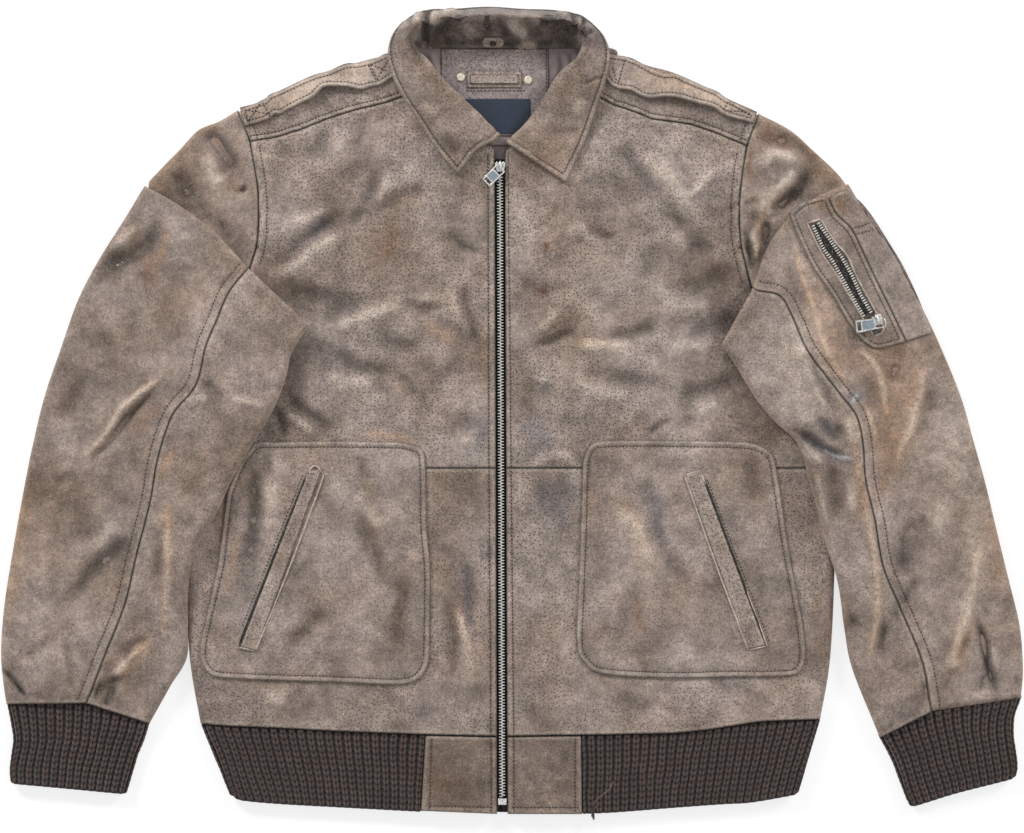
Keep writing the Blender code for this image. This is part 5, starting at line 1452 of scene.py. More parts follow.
HEM_TAB = (6.0, 7.0)  # the height of its underside, which is within the band, and its thickness
TAB_ROWS = {
    "right": (((-74, -302), (-76.5, -368)), ((-19.4, -302), (-19.2, -371)), ((-77, -365), (-17, -366.5))),
    "left": (((1.6, -302), (2, -371)), ((58.5, -302), (58.5, -371)), ((0, -366.5), (62, -366.5))),
}
for seed, side in enumerate(SIDES):
    puff = pocket_puff(side)
    fronts = (side + "_front_upper", side + "_front_lower")
    outline = Plan([(False, eased(loops[side + "_pocket"][0][:, :2], 4))])
    laid(side + "_pocket", body_level, puff, PATCH, 70 + seed, fronts, relief=body_relief, plan=outline, pores=0.6)
    laid(side + "_welt", body_level, lambda p: puff(p) + PATCH + GAP, 1.2, 74 + seed, (side + "_pocket",), 0)
    laid(
        side + "_hem_tab", plane(HEM_TAB[0]), plane(0.0), HEM_TAB[1], 76 + seed, ("waistband",), 0,
        [np.array(row, float) for row in TAB_ROWS[side]],
        marks=((DARK, 0.35, 60, ((-200, -335), (200, -335))),), brown=0.25, pores=0.5,
    )
    yoke = body_plans[side + "_yoke"].lines(True)
    # The epaulette's relief makes it lighter where it stands off the yoke and darker where it sinks: painted light and
    # shade.
    laid(
        side + "_epaulette", lambda p: body_level(p) - 5.4 * quarter(nearest_of(p, yoke)[0] / 8),
        lambda p: GAP + creased(p, EPAULETTE_LIFT), 2.4, 78 + seed, (side + "_yoke",), 4.6,
        [np.array(row) for row in STRAP_ROWS[side]],
        plan=Plan([(False, curved(line, 1.5)) for line in EPAULETTES[side]]), brown=-0.1, pores=0.15,
        marks=STRAP_MARKS, relief=lambda p: creased(p, EPAULETTE_LIFT) * 0.4,
    )
PEN_LINE = ((291.7, 195.9), (299.6, 180.9), (313.8, 166.6), (329.7, 134.8), (353.4, 87.4), (364.6, 64.3))
POCKET_LINES = (
    ((254.4, 182.5), (264.7, 157.2), (277.4, 131.8), (293.2, 109.6), (313.8, 76.3), (325, 63.7)),
    ((325, 63.7), (332.6, 58.9), (340.9, 58), (352.4, 61), (364.6, 64.3)),
    PEN_LINE[::-1],
    ((291.7, 195.9), (286, 198.6), (268, 193.2), (254.4, 182.5)),
)
PEN_LINES = (
    PEN_LINE,
    ((364.6, 64.3), (389.5, 72.4)),
    ((389.5, 72.4), (380.6, 95.6), (362.4, 133.4), (342.5, 165), (325.6, 189), (309.6, 204.6)),
    ((309.6, 204.6), (300, 202), (291.7, 195.9)),
)
for name, lines, seed, stitches, rows in (
    ("sleeve_pocket", POCKET_LINES, 81, 4.5, ()),
    ("pen_strip", PEN_LINES, 82, 0, (((311.9, 167.8), (329.7, 173.7)), ((314.8, 162.2), (333.6, 167.9)))),
):
    laid(
        name, sleeves["left"].top, plane(GAP), PATCH, seed, ("left_top_sleeve",), stitches,
        [np.array(row) for row in rows],
        plan=Plan([(False, curved(line, 1.5)) for line in lines]), marks=SLEEVE_MARKS, pores=0.1,
        relief=plane(-0.5),
    )
for side, slit, rim, outside in WELTS:
    pocket = pieces[side + "_pocket"]
    # A black cord that paints the shade inside the slit.
    cord(side + "_pocket_slit_shade", pocket, slit, 1.8, BLACK)
    for number, line in enumerate(rim):
        cord(f"{side}_welt_rim_{number}", pieces[side + "_welt"], line, 0.8, PALE)
    stitched(side + "_welt", pocket, [np.array(outside, float)])

# Knitting --------------------------------------------------------------------------------------------------

RIB, STITCH_ROW = 8.0, 5.6  # across the ribs and along them
SLANT = 1.7  # of the stitches' legs: rows to a rib's width
KNIT_WALL = 3.2
# Each band's half height, and its lengths across and up.
CUFF_HALF, CUFF_ACROSS, CUFF_UP = 5.7, 130, 64
BAND_HALF, BAND_FRONT, BAND_ROUND, BAND_UP = 5.75, 210, 570, 72


def knit_look():
    look = Look("rib_knit", 0.95, sheen=0.35, specular=0.12)
    place = look.tint()["Vector"]
    parts = look.add("SeparateXYZ")
    look.put(parts.inputs[0], place)
    across, along, level = parts.outputs
    # 0 in the middle of a rib and a half in the groove on either side of it.
    turn = look.math("FRACT", look.math("ADD", look.math("DIVIDE", across, RIB), 0.5))
    middle = look.math("ABSOLUTE", look.math("SUBTRACT", turn, 0.5))
    leg = look.math("SINE", look.math("MULTIPLY", middle, 2 * pi))
    rise = look.math("SUBTRACT", look.math("DIVIDE", along, STITCH_ROW), look.math("MULTIPLY", middle, SLANT))
    row = look.math("FRACT", rise)
    bulge = look.math("SINE", look.math("MULTIPLY", row, pi))
    core = look.math("SUBTRACT", 1.0, look.math("MULTIPLY", middle, 9.0), clamp=True)
    hole = look.math("MULTIPLY", core, look.math("SUBTRACT", 1.0, look.spread(row, 0.25, 0.6)))
    yarn = look.math("POWER", look.math("MAXIMUM", leg, 0), 0.4)
    yarn = look.math("MULTIPLY", yarn, look.spread(bulge, 0.0, 0.75, 0.35, 1.0))
    fuzz = look.noise(0.8, 3, 0.7)
    strands = look.noise(0.5, 2, 0.5, at=look.vector("MULTIPLY", place, (1.0, 0.25, 0.0)))
    # Painted light and shade: the yarn lit on its round legs and on each row's bulge, dark in the grooves between the
    # ribs and in the holes between stitches. Fuzz and strands are the yarn's own unevenness.
    shade = look.spread(yarn, 0.2, 0.95, 0.1, 1.4)
    for share in (
        look.spread(level, 0.2, 0.95, 0.04, 1.4), look.math("SUBTRACT", 1.0, look.math("MULTIPLY", hole, 0.9)),
        look.spread(fuzz, 0.3, 0.7, 0.7, 1.3), look.spread(strands, 0.35, 0.65, 0.75, 1.25),
    ):
        shade = look.math("MULTIPLY", shade, share)
    colour = look.mix(look.noise(18, 3), linear(52, 41, 38), linear(84, 69, 64))
    height = look.math("ADD", yarn, look.math("MULTIPLY", fuzz, 0.3))
    return look.finish(look.vector("SCALE", colour, scale=shade), height, 1.2)


KNIT_LOOK = knit_look()


def coons(foot, head, left, right, across, along):
    """A grid of plan points between four chains. Its first axis runs from foot to head."""
    def at(line, count):
        place = lengths_along(line[:, :2])
        t = np.linspace(0, place[-1], count)
        return np.stack([np.interp(t, place, line[:, i]) for i in (0, 1)], 1)

    b, t, l, r = at(foot, across), at(head, across), at(left, along), at(right, along)
    u, v = np.linspace(0, 1, across)[None, :, None], np.linspace(0, 1, along)[:, None, None]
    edges = (1 - v) * b[None] + v * t[None] + (1 - u) * l[:, None] + u * r[:, None]
    return edges - ((1 - u) * (1 - v) * b[0] + u * (1 - v) * b[-1] + (1 - u) * v * t[0] + u * v * t[-1])


def four_chains(loop):
    """A band's foot, its right side, its head and its left side, all anticlockwise."""
    level = Field(["waistband", "left_cuff", "right_cuff"], [loop], blur=12)
    chains = [points for _rolled, points in plan_of(loop, level).chains if lengths_along(points)[-1] > 12]
    start = min(range(4), key=lambda i: chains[i][:, 1].mean())
    return [chains[(start + i) % 4] for i in range(4)]


def turned_over(rows, half, left=True, right=True):
    """Rows of plan points made into the upper side of a flat tube, with a round edge at its sides."""
    length = lengths_over(rows, 1)
    whole = length[:, -1:]
    extra = (pi / 2 - 1) * half
    s = np.linspace(0, 1, rows.shape[1])[None] * (whole + extra * (left + right))
    x, z = s.copy(), np.full(s.shape, half)
    if left:
        turn = np.clip(s / half, 0, pi / 2)
        bent = s < half * pi / 2
        x = np.where(bent, half * (1 - np.cos(turn)), s - extra)
        z = np.where(bent, half * np.sin(turn), half)
    if right:
        back = whole + extra * (left + right) - s
        turn = np.clip(back / half, 0, pi / 2)
        bent = back < half * pi / 2
        x = np.where(bent, whole - half * (1 - np.cos(turn)), x)
        z = np.where(bent, half * np.sin(turn), z)
    out = np.empty((*rows.shape[:2], 3))
    for i in range(rows.shape[0]):
        for axis in (0, 1):
            out[i, :, axis] = np.interp(x[i], length[i], rows[i, :, axis])
    out[:, :, 2] = half + z
    return out, s


def side_faces(a, b, skip, flip):
    """Faces from a row of edges, from points a to points b, to the same edges skip points on."""
    faces = np.stack([a, a + skip, b + skip, b], -1)
    return (faces[:, ::-1] if flip else faces).tolist()


def knitted(name, grid, phase, closed, node):
    """A ribbed band: rows of points of its outer face from the foot up, and each column's place on the ribs."""
    around = np.roll(grid, -1, 1) - np.roll(grid, 1, 1) if closed else np.gradient(grid, axis=1)
    normal = units(np.cross(around, np.gradient(grid, axis=0)))
    up = lengths_over(grid, 0)
    end = up[-1:] - up
    wobble = phase[None] + 1.2 * fractal(phase[None] * 0.9 + 0 * up, up, 40, 2, 91)
    rib = np.abs(np.cos(pi * wobble / RIB)) ** 0.9
    slant = up / STITCH_ROW - SLANT * np.abs((wobble / RIB + 0.5) % 1 - 0.5)
    knot = 0.35 * rib * np.abs(np.sin(pi * slant))
    lips = 1.5 * quarter(up / 3.5) + 1.2 * quarter(end / 2.5)
    swell = 0.6 * fractal(phase[None] + 0 * up, up, 30, 2, 92)
    outer = grid + normal * (2.2 * (rib - 1) + knot - lips + np.minimum(swell, 0))[..., None]
    inner = grid - normal * (KNIT_WALL + lips * 0.2)[..., None]
    rows, columns = grid.shape[:2]
    points = np.vstack([outer.reshape(-1, 3), inner.reshape(-1, 3)])
    number = np.arange(rows * columns).reshape(rows, columns)
    right = np.roll(number, -1, 1) if closed else number[:, 1:]
    left = number if closed else number[:, :-1]
    quads = np.stack([left[:-1], right[:-1], right[1:], left[1:]], -1).reshape(-1, 4)
    skip = rows * columns
    faces = quads.tolist() + (quads[:, ::-1] + skip).tolist()
    for i, flip in ((0, False), (rows - 1, True)):
        faces += side_faces(left[i], right[i], skip, flip)
    if not closed:
        for j, flip in ((0, True), (columns - 1, False)):
            faces += side_faces(number[:-1, j], number[1:, j], skip, flip)
    # The rib's height goes to the look, which uses it for painted shade in the grooves.
    place = np.stack([wobble, up, rib], -1).reshape(-1, 3)
    made = mesh_of(name, points, faces, KNIT_LOOK, "knit", np.vstack([place, place]))
    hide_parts(node)
    pieces[node] = made


def cuff(side):
    foot, right, top, left = four_chains(loops[side + "_cuff"][0])
    rows = coons(foot, top[::-1], left[::-1], right, int(CUFF_ACROSS / finer(1.0)), int(CUFF_UP / 1.4))
    over, s = turned_over(rows, CUFF_HALF)
    # The knitting goes on a little under the sleeve's edge.
    beyond = [over[-1] + (over[-1] - over[-2]) * k for k in range(1, 5)]
    for k, row in enumerate(beyond):
        row[:, 2] = CUFF_HALF + (row[:, 2] - CUFF_HALF) * (1 - 0.12 * k)
    over = np.concatenate([over, beyond])
    s = np.concatenate([s, s[-1:].repeat(len(beyond), 0)])
    under = over[:, ::-1].copy()
    under[:, :, 2] = 2 * CUFF_HALF - under[:, :, 2]
    grid = np.concatenate([over[:, :-1], under[:, :-1]], axis=1)
    length = s.mean(0)
    length *= round(length[-1] / RIB) * RIB / length[-1]
    phase = np.concatenate([length[:-1], length[-1] + length[:-1]])
    knitted("knit_" + side + "_cuff", grid, phase, True, side + "_cuff")


def waistband():
    step, up, parts = finer(1.0), int(BAND_UP / 1.5), []
    for loop in loops["waistband"][1:3]:
        foot, right, top, left = four_chains(loop)
        parts.append(coons(foot, top[::-1], left[::-1], right, int(BAND_FRONT / step), up))
    fronts = [turned_over(parts[0], BAND_HALF, False, True), turned_over(parts[1], BAND_HALF, True, False)]
    ends = parts[0][:, -1], parts[1][:, 0]
    count = int(BAND_ROUND / (2 * step))
    back = np.empty((up, count, 2))
    for i in range(up):
        back[i, :, 0] = np.linspace(ends[0][i, 0], ends[1][i, 0], count)
        known = np.vstack([parts[1][i], parts[0][i]])
        back[i, :, 1] = np.interp(back[i, :, 0], known[:, 0], known[:, 1])
    under, s = turned_over(back, BAND_HALF)
    under[:, :, 2] = 2 * BAND_HALF - under[:, :, 2]
    grid = np.concatenate([fronts[0][0], under[:, 1:-1], fronts[1][0]], axis=1)
    first, middle, last = fronts[0][1].mean(0), s.mean(0), fronts[1][1].mean(0)
    phase = np.concatenate([first, first[-1] + middle[1:-1], first[-1] + middle[-1] + last])
    knitted("knit_waistband", grid, phase, False, "waistband")


cuff("left")
cuff("right")
waistband()
# A pulled thread and the tuft that it ends in, below the left hem tab.
YARN = (
    (0.55, (118, 98, 88), ((94.1, -341.5), (90, -349.9), (78.4, -359.5), (75.2, -366.5))),
    (0.5, (72, 56, 50), ((112, -322), (120, -330), (124, -344), (130, -352))),
    (1.5, (62, 48, 44), ((76.6, -361), (74.6, -368), (75.8, -378.5))),
    (0.9, (74, 60, 54), ((80, -364), (75.5, -369), (73.6, -375.5))),
)
for number, (radius, paint, line) in enumerate(YARN):
    cord(f"yarn_{number}", pieces["waistband"], line, radius, linear(*paint), "knit")

# Back ------------------------------------------------------------------------------------------------------


BACK_TOP = 4.9
BACK_ROLL = (6, 3.4)  # width and rise of its rounded edge
BACK_HEM = -280  # below it the edge is sewn to the band


def back():
    name = "back_panel"
    loop = loops[name][0].copy()
    # On the left shoulder it keeps under the yoke.
    loop[:, 1] = np.where(loop[:, 0] > 80, np.minimum(loop[:, 1], 331 - 0.5 * (loop[:, 0] - 90)), loop[:, 1])
    plan = plan_of(loop, plane(5.0), lambda middle, rolled: middle[1] > BACK_HEM)

    def bottom(p):
        return BACK_ROLL[1] * quarter(nearest_of(p, plan.lines(True))[0] / BACK_ROLL[0])

    points, faces = slab_shell(plan, plane(BACK_TOP), bottom, 7.0, (1, 2.5, 5), fine_top=False)
    made = mesh_of("cloth_back", points, faces, LEATHER, "leather", hide(points, 30))
    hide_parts(name)
    pieces[name] = made
    cut(made, plan.loop(), ())


back()


# Collar ----------------------------------------------------------------------------------------------------

# Stations from the right point round the back to the left point: free edge, its height, crest, its height,
# foot of the stand, its height.
COLLAR = (
    ((-50, 218), 14.4, (-12, 254), 23, (-19, 246), 14.2),
    ((-70, 242), 14.4, (-30, 272), 25, (-38, 260), 14.2),
    ((-89, 271), 15.5, (-48, 289), 27, (-57, 277), 14.2),
    ((-103, 293), 17.6, (-64, 305), 29, (-74, 294), 14.2),
    ((-113, 316), 18.0, (-79, 322), 32, (-91, 312), 14.2),
    ((-115, 336), 16.0, (-91, 337), 35, (-98, 327), 14.2),
    ((-107, 355), 10.0, (-91, 349), 37, (-89, 341), 11.0),
    ((-84, 372), 2.0, (-80, 358), 38, (-76, 340), 4.6),
    ((-55, 374), 0.6, (-55, 361), 38, (-55, 339), 4.4),
    ((-22, 376), 0.6, (-22, 363), 38, (-22, 339), 4.4),
    ((10, 374), 0.6, (10, 361), 38, (10, 339), 4.4),
    ((38, 373), 0.6, (38, 360), 38, (38, 339), 4.4),
    ((62, 369), 1.2, (57, 356), 38, (54, 339), 4.6),
    ((76, 359), 5.0, (66, 348), 37, (64, 337), 10.0),
    ((87, 345), 12.0, (68, 339), 35, (74, 329), 14.2),
    ((91, 328), 17.0, (62, 327), 32, (73, 316), 14.2),
    ((87, 305), 17.6, (46, 312), 30, (60, 302), 14.2),
    ((80, 285), 16.0, (32, 291), 27, (44, 282), 14.2),
    ((68, 250), 14.4, (14, 265), 25, (26, 262), 14.2),
    ((50, 211), 14.4, (-4, 247), 23, (8, 246), 14.2),
)
COLLAR_WALL = 2.2
COLLAR_CREASES = (
    (-5.0, 3, ((-79, 380), (-79, 362), (-80, 346), (-82, 330))),
    (2.0, 4, ((-87, 372), (-87, 354))),
    (2.0, 5, ((-71, 372), (-72, 352))),
    (-2.6, 4, ((-97, 346), (-90, 334), (-84, 322))),
    (1.6, 6, ((-102, 362), (-98, 350))),
    (-3.2, 5, ((-36, 372), (-50, 362), (-64, 352), (-80, 338))),
    (2.0, 5, ((-50, 372), (-66, 364))),
    (-2.4, 3, ((-25, 374), (-23, 360), (-23, 350))),
    (1.6, 6, ((-36, 356), (-44, 346))),
    (-2.8, 4, ((-16, 360), (-5, 348), (8, 337))),
    (2.0, 5, ((-6, 360), (8, 350), (16, 346))),
    (1.6, 4, ((0, 338), (12, 340), (26, 341))),
    (-3.2, 5, ((24, 366), (36, 361), (49, 353), (60, 338))),
    (-2.4, 4, ((31, 366), (28, 352))),
    (1.8, 5, ((40, 370), (52, 362))),
    (-3.4, 2.6, ((57, 374), (58, 358), (59, 344))),
    (1.8, 2.6, ((62, 364), (62, 348))),
    (-3.6, 2.6, ((69, 368), (66, 356), (64, 343))),
    (-3.0, 2.6, ((76, 354), (70, 348), (63, 343))),
    (-1.4, 6, ((-66, 258), (-56, 244), (-44, 236))),
    (1.2, 7, ((-84, 286), (-68, 270))),
    (-1.3, 5, ((66, 262), (48, 256), (30, 262))),
    (-1.6, 1.6, ((62, 300), (76, 306), (92, 311))),
    (1.4, 7, ((66, 290), (58, 270))),
)
BENT = (4.5, 2.0)  # how far the first two sections' middles bow towards the leaf
COLLAR_ROW = 5.3  # from the free edge to the row of stitches


def through(controls, count):
    """Smooth curves through rows of control points: (rows, controls, 3) to (rows, count, 3)."""
    before, after = 2 * controls[:, :1] - controls[:, 1:2], 2 * controls[:, -1:] - controls[:, -2:-1]
    ends = np.concatenate([before, controls, after], 1)
    t = np.linspace(0, controls.shape[1] - 1.0001, count)
    i, f = t.astype(int), (t % 1)[None, :, None]
    a, b, c, d = (ends[:, i + k] for k in range(4))
    return spline(a, b, c, d, f)


def even(grid, step):
    """Each row's points moved along it until they lie evenly."""
    rows = []
    count = int(np.max([lengths_along(row)[-1] for row in grid]) / step) + 1
    for row in grid:
        along = lengths_along(row)
        t = np.linspace(0, along[-1], count)
        rows.append(np.stack([np.interp(t, along, row[:, axis]) for axis in range(3)], 1))
    return np.array(rows)


def collar_sections():
    """Each station's points: up the leaf from its free edge, over the crest and down the stand."""
    rows = []
    bends = dict(enumerate(BENT))
    for number, (edge, edge_z, crest, crest_z, foot, foot_z) in enumerate(COLLAR):
        edge, crest = np.array(edge, float), np.array(crest, float)
        inward = np.array([*unit(crest - edge), 0])
        top = edge_z + 2.6
        head = np.array([*crest, crest_z - 6]) + inward * 1.6
        low = np.array([*foot, foot_z], float)
        down = unit(low - head)
        off = unit(inward - down * (inward @ down)) * 2.4
        low[2] += max(0.0, -off[2])
        leaf = [
            np.array([*(edge + (crest - edge) * t), top + (crest_z - top) * rise]) for t, rise in ((0, 0), (0.5, 0.62))
        ]
        ridge = [[*(edge + (crest - edge) * 0.86), crest_z - 1.4], [*crest, crest_z - 2.2]]
        leaf[1][:2] += unit(np.array((-20.0, 24.0))) * bends.get(number, 0)
        rows.append([*leaf, *ridge, *(list(point + off) for point in (head, (head + low) / 2, low))])
    return np.array(rows, float)


def grid_normals(grid):
    return units(np.cross(np.gradient(grid, axis=0), np.gradient(grid, axis=1)))


def thick(outer, inner):
    """Points and faces of a sheet between two equal grids. The first one's normals face out."""
    rows, columns = outer.shape[:2]
    number = np.arange(rows * columns).reshape(rows, columns)
    skip = rows * columns
    quads = np.stack([number[:-1, :-1], number[1:, :-1], number[1:, 1:], number[:-1, 1:]], -1).reshape(-1, 4)
    faces = quads.tolist() + (quads[:, ::-1] + skip).tolist()
    for line, flip in ((number[0], True), (number[-1], False), (number[:, 0], False), (number[:, -1], True)):
        faces += side_faces(line[:-1], line[1:], skip, flip)
    return np.vstack([outer.reshape(-1, 3), inner.reshape(-1, 3)]), faces


def collar():
    controls = collar_sections()
    along = through(controls.transpose(1, 0, 2), finer(400)).transpose(1, 0, 2)
    grid = even(through(along, 60), finer(2.0))
    normal = grid_normals(grid)
    if normal[len(normal) // 2, 10, 2] < 0:
        normal = -normal
    flat = grid.reshape(-1, 3)
    across, ends = lengths_over(grid, 1), lengths_over(grid, 0)
    side = np.minimum(np.minimum(across, ends), ends[-1:] - ends)
    relief = 1.4 * creased(flat, COLLAR_CREASES) + 0.5 * fractal(flat[:, 0], flat[:, 1], 34, 3, 51)
    relief = relief.reshape(side.shape) * smooth(side / 8)
    rim = 0.5 * np.exp(-(((side - 2.8) / 1.8) ** 2)) - 1.0 * quarter(side / 2.4)
    rim = rim - 0.55 * np.exp(-(((side - COLLAR_ROW) / 1.2) ** 2))
    outer = grid + normal * (relief + rim)[..., None]
    inner = grid + normal * (np.minimum(relief, 0) - COLLAR_WALL)[..., None]
    points, faces = thick(outer, inner)
    free = np.concatenate([side, side]).reshape(-1)
    colours = hide(points, 55, COLLAR_MARKS, brown=0.1, pores=0.8, relief=np.tile(relief.reshape(-1), 2))
    worn = np.clip(0.25 * np.exp(-(((free - 2.2) / 1.5) ** 2)), 0, 1)[:, None]
    # Painted shade along the free edge and along the row of stitches. The pale rim in the line above is wear.
    dark, below = (1 - 0.5 * np.exp(-(((free - at) / 0.9) ** 2))[:, None] for at in (0, COLLAR_ROW))
    dark = dark * below
    colours[:, :3] = (colours[:, :3] * (1 - worn) + PALE * worn) * dark
    made = mesh_of("cloth_collar", points, faces, LEATHER, "leather", colours)
    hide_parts("collar_leaf", "collar_stand")
    pieces["collar"] = made
    at = int(np.argmin(np.abs(across[len(grid) // 2] - COLLAR_ROW)))
    last = [int(np.argmin(np.abs(ends[:, 10] - d))) for d in (COLLAR_ROW, ends[-1, 10] - COLLAR_ROW)]
    tops = int(grid.shape[1] * 0.5)
    stitched("collar", made, [grid[4:-4, at, :2]] + [grid[i, at:tops, :2] for i in last])


collar()


# Inside the neck -------------------------------------------------------------------------------------------


def satin_look(name, low, high, roughness):
    look = Look(name, roughness, sheen=0.4, specular=0.5)
    weave = look.noise(0.5, 2, at=look.vector("MULTIPLY", look.mm, (1, 0.3, 1)))
    colour = look.mix(look.spread(look.noise(14, 3), 0.3, 0.7), low, high)
    return look.finish(look.vector("SCALE", colour, scale=look.spread(weave, 0.3, 0.7, 0.9, 1.1)), weave, 0.12)


SATIN = satin_look("satin_lining", linear(122, 108, 108), linear(150, 136, 134), 0.5)
NAVY = satin_look("label_cloth", linear(14, 27, 44), linear(22, 38, 58), 0.75)
LINING_CREASES = (
    (1.6, 3.5, ((-78, 338), (-72, 322), (-68, 308))),
    (1.8, 3.0, ((38, 336), (42, 322), (40, 306))),
    (2.0, 3.0, ((48, 334), (52, 322), (48, 310))),
    (1.6, 2.5, ((58, 335), (60, 326), (57, 318))),
    (1.0, 2.5, ((-30, 250), (0, 251), (20, 256))),
)
FACING_MARKS = ((MAUVE, 0.9, 70, ((-300, 300), (-60, 300), (200, 300))),)


def flat_piece(name, look, slot, relief, colours=None, spacing=2.0):
    """A flat layer as thick as its solid."""
    low, high = (corner / MM for corner in np.array(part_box(name)))
    plan = plan_of(loops[name][0], plane(high[2]), unrolled)
    edges = plan.lines(False)

    def top(p):
        return high[2] + relief(p) - 0.6 * (high[2] - low[2]) * quarter(nearest_of(p, edges)[0] / 1.0)

    points, faces = slab_shell(plan, top, plane(low[2]), spacing, (0.5, 1.2, 2.2))
    made = mesh_of("cloth_" + name, points, faces, look, slot, None if colours is None else colours(points, edges))
    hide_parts(name)
    pieces[name] = made
    cut(made, plan.loop())
    return made


def plain_relief(p):
    return 0.2 * fractal(p[:, 0], p[:, 1], 16, 2, 57)


flat_piece("neck_lining", SATIN, "satin", lambda p: creased(p, LINING_CREASES))
FACING_ROWS = [np.array(((32, 336), (32, 258))), np.array(((-43, 297.5), (12, 297.5)))]
# A gathered bit of lining in the corner behind the right end of the stand.
FILL = ((-97, 331), (-74, 331), (-74, 352), (-97, 345))
fill_plan = Plan([(False, curved(line, 2)) for line in zip(FILL, (*FILL[1:], FILL[0]))])
points, faces = slab_shell(fill_plan, lambda p: 5.2 + 0.8 * np.sin(p[:, 0] * 0.9 + p[:, 1] * 0.3), plane(3.6))
pieces["neck_fill"] = mesh_of("cloth_neck_fill", points, faces, SATIN, "satin")
cut(pieces["neck_fill"], fill_plan.loop())
facing = flat_piece(
    "neck_facing", LEATHER, "leather", plain_relief, lambda p, e: hide(p, 58, FACING_MARKS, edges=e, rows=FACING_ROWS)
)
flat_piece("neck_label", NAVY, "label", lambda p: 0.5 * plain_relief(p))
flat_piece("hanger_patch", LEATHER, "leather", plane(0.0), lambda p, e: hide(p, 59, brown=0.1, edges=e))
flat_piece("hanger_loop", LEATHER, "leather", plain_relief, lambda p, e: hide(p, 60, brown=-0.1, edges=e))
flat_piece("zip_guard", SATIN, "leather", plain_relief)
stitched("neck_facing", facing, FACING_ROWS)


# Metal -----------------------------------------------------------------------------------------------------


def metal_look(name, low, high, roughness=0.32, metallic=1.0):
    look = Look(name, roughness, metallic=metallic, specular=0.5)
    worn = look.spread(look.noise(1.6, 4, 0.65), 0.35, 0.65)
    scratch = look.noise(0.35, 2, at=look.vector("MULTIPLY", look.mm, (1, 0.12, 1)))
    return look.finish(look.mix(worn, low, high), scratch, 0.05, look.spread(worn, 0, 1, roughness + 0.2, roughness))


STEEL = metal_look("zip_steel", linear(150, 150, 148), linear(215, 215, 212))
TOOTH = metal_look("zip_tooth", linear(186, 184, 178), linear(240, 238, 232), 0.4, 0.4)
BRASS = metal_look("snap_brass", linear(186, 180, 156), linear(226, 220, 200), 0.5, 0.4)
DARK_METAL = metal_look("snap_dark", linear(40, 36, 32), linear(84, 76, 66), 0.45)
ENAMEL = Look("pull_panel", 0.35, specular=0.6)
ENAMEL.finish(ENAMEL.mix(ENAMEL.noise(3, 3), linear(110, 124, 136), linear(150, 162, 170)))


TURNED_SIDES = 32


def turned(name, profile, place, up, look, slot, node=None):
    """A turned part: radii and heights along an axis, from the middle of its top outwards and down."""
    count, up = TURNED_SIDES, unit(np.array(up, float))
    side = unit(np.cross(up, (0.3, 1, 0.2)))
    other = np.cross(up, side)
    ring = [side * cos(2 * pi * k / count) + other * sin(2 * pi * k / count) for k in range(count)]
    points = [np.array(place) + up * profile[0][1]]
    for radius, height in profile[1:]:
        points += [np.array(place) + up * height + way * radius for way in ring]
    faces = [(0, 1 + k, 1 + (k + 1) % count) for k in range(count)]
    for i in range(len(profile) - 2):
        a = 1 + i * count
        faces += [(a + k, a + count + k, a + count + (k + 1) % count, a + (k + 1) % count) for k in range(count)]
    last = 1 + (len(profile) - 2) * count
    faces.append(tuple(last + k for k in range(count))[::-1])
    made = mesh_of(name, np.array(points), faces, look, slot)
    if node:
        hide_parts(node)
    return made


SNAP_PROFILE = ((0, 1.4), (1.8, 1.4), (2.9, 1.3), (3.5, 1.1), (3.9, 0.7), (3.9, 0.3), (3.5, 0))
for side, place in (("right", (-47.5, 310, 7.5)), ("left", (15, 307.3, 7.5))):
    name = side + "_neck_snap"
    turned("metal_" + name, SNAP_PROFILE, place, (0, 0, 1), BRASS, "snap", name)


def set_down(points, place, turn):
    """Points turned about their own origin and set at a place."""
    c, s = cos(radians(turn)), sin(radians(turn))
    x, y, z = points.T
    return np.stack([x * c - y * s, x * s + y * c, z], 1) + np.array(place)


def plate(name, outlines, low, high, bevel, place, turn, look, slot, node=None, body=BODY):
    """A flat part with rounded edges and holes, from closed outlines, turned about its own origin."""
    curve = bpy.data.curves.new(name, "CURVE")
    curve.dimensions, curve.fill_mode = "2D", "BOTH"
    curve.extrude, curve.bevel_depth = ((high - low) / 2 - bevel) * MM, bevel * MM
    curve.bevel_resolution, curve.offset = 2, -bevel * MM
    for outline in outlines:
        track = curve.splines.new("POLY")
        track.points.add(len(outline) - 1)
        for point, (x, y) in zip(track.points, outline):
            point.co = (x * MM, y * MM, 0, 1)
        track.use_cyclic_u = True
    source = bpy.data.objects.new(name, curve)
    bpy.context.scene.collection.objects.link(source)
    mesh = bpy.data.meshes.new_from_object(source)
    bpy.data.objects.remove(source)
    co = np.empty(len(mesh.vertices) * 3)
    mesh.vertices.foreach_get("co", co)
    co = co.reshape(-1, 3) / MM
    spots = set_down(co, (*place, (low + high) / 2), turn)
    made = mesh_of(name, spots, [tuple(f.vertices) for f in mesh.polygons], look, slot, body=body)
    made.data.shade_flat()
    made.data.shade_smooth()
    made.data.set_sharp_from_angle(angle=radians(35))
    if node:
        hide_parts(node)
    return made


def rounded(points, radius, count=5):
    """A closed outline with its corners rounded."""
    points = np.array(points, float)
    out = []
    for before, here, after in zip(np.roll(points, 1, 0), points, np.roll(points, -1, 0)):
        a, b = unit(before - here), unit(after - here)
        reach = min(radius, 0.45 * np.linalg.norm(before - here), 0.45 * np.linalg.norm(after - here))
        start, end = here + a * reach, here + b * reach
        for t in np.linspace(0, 1, count):
            out.append((1 - t) ** 2 * start + 2 * t * (1 - t) * here + t**2 * end)
    return out


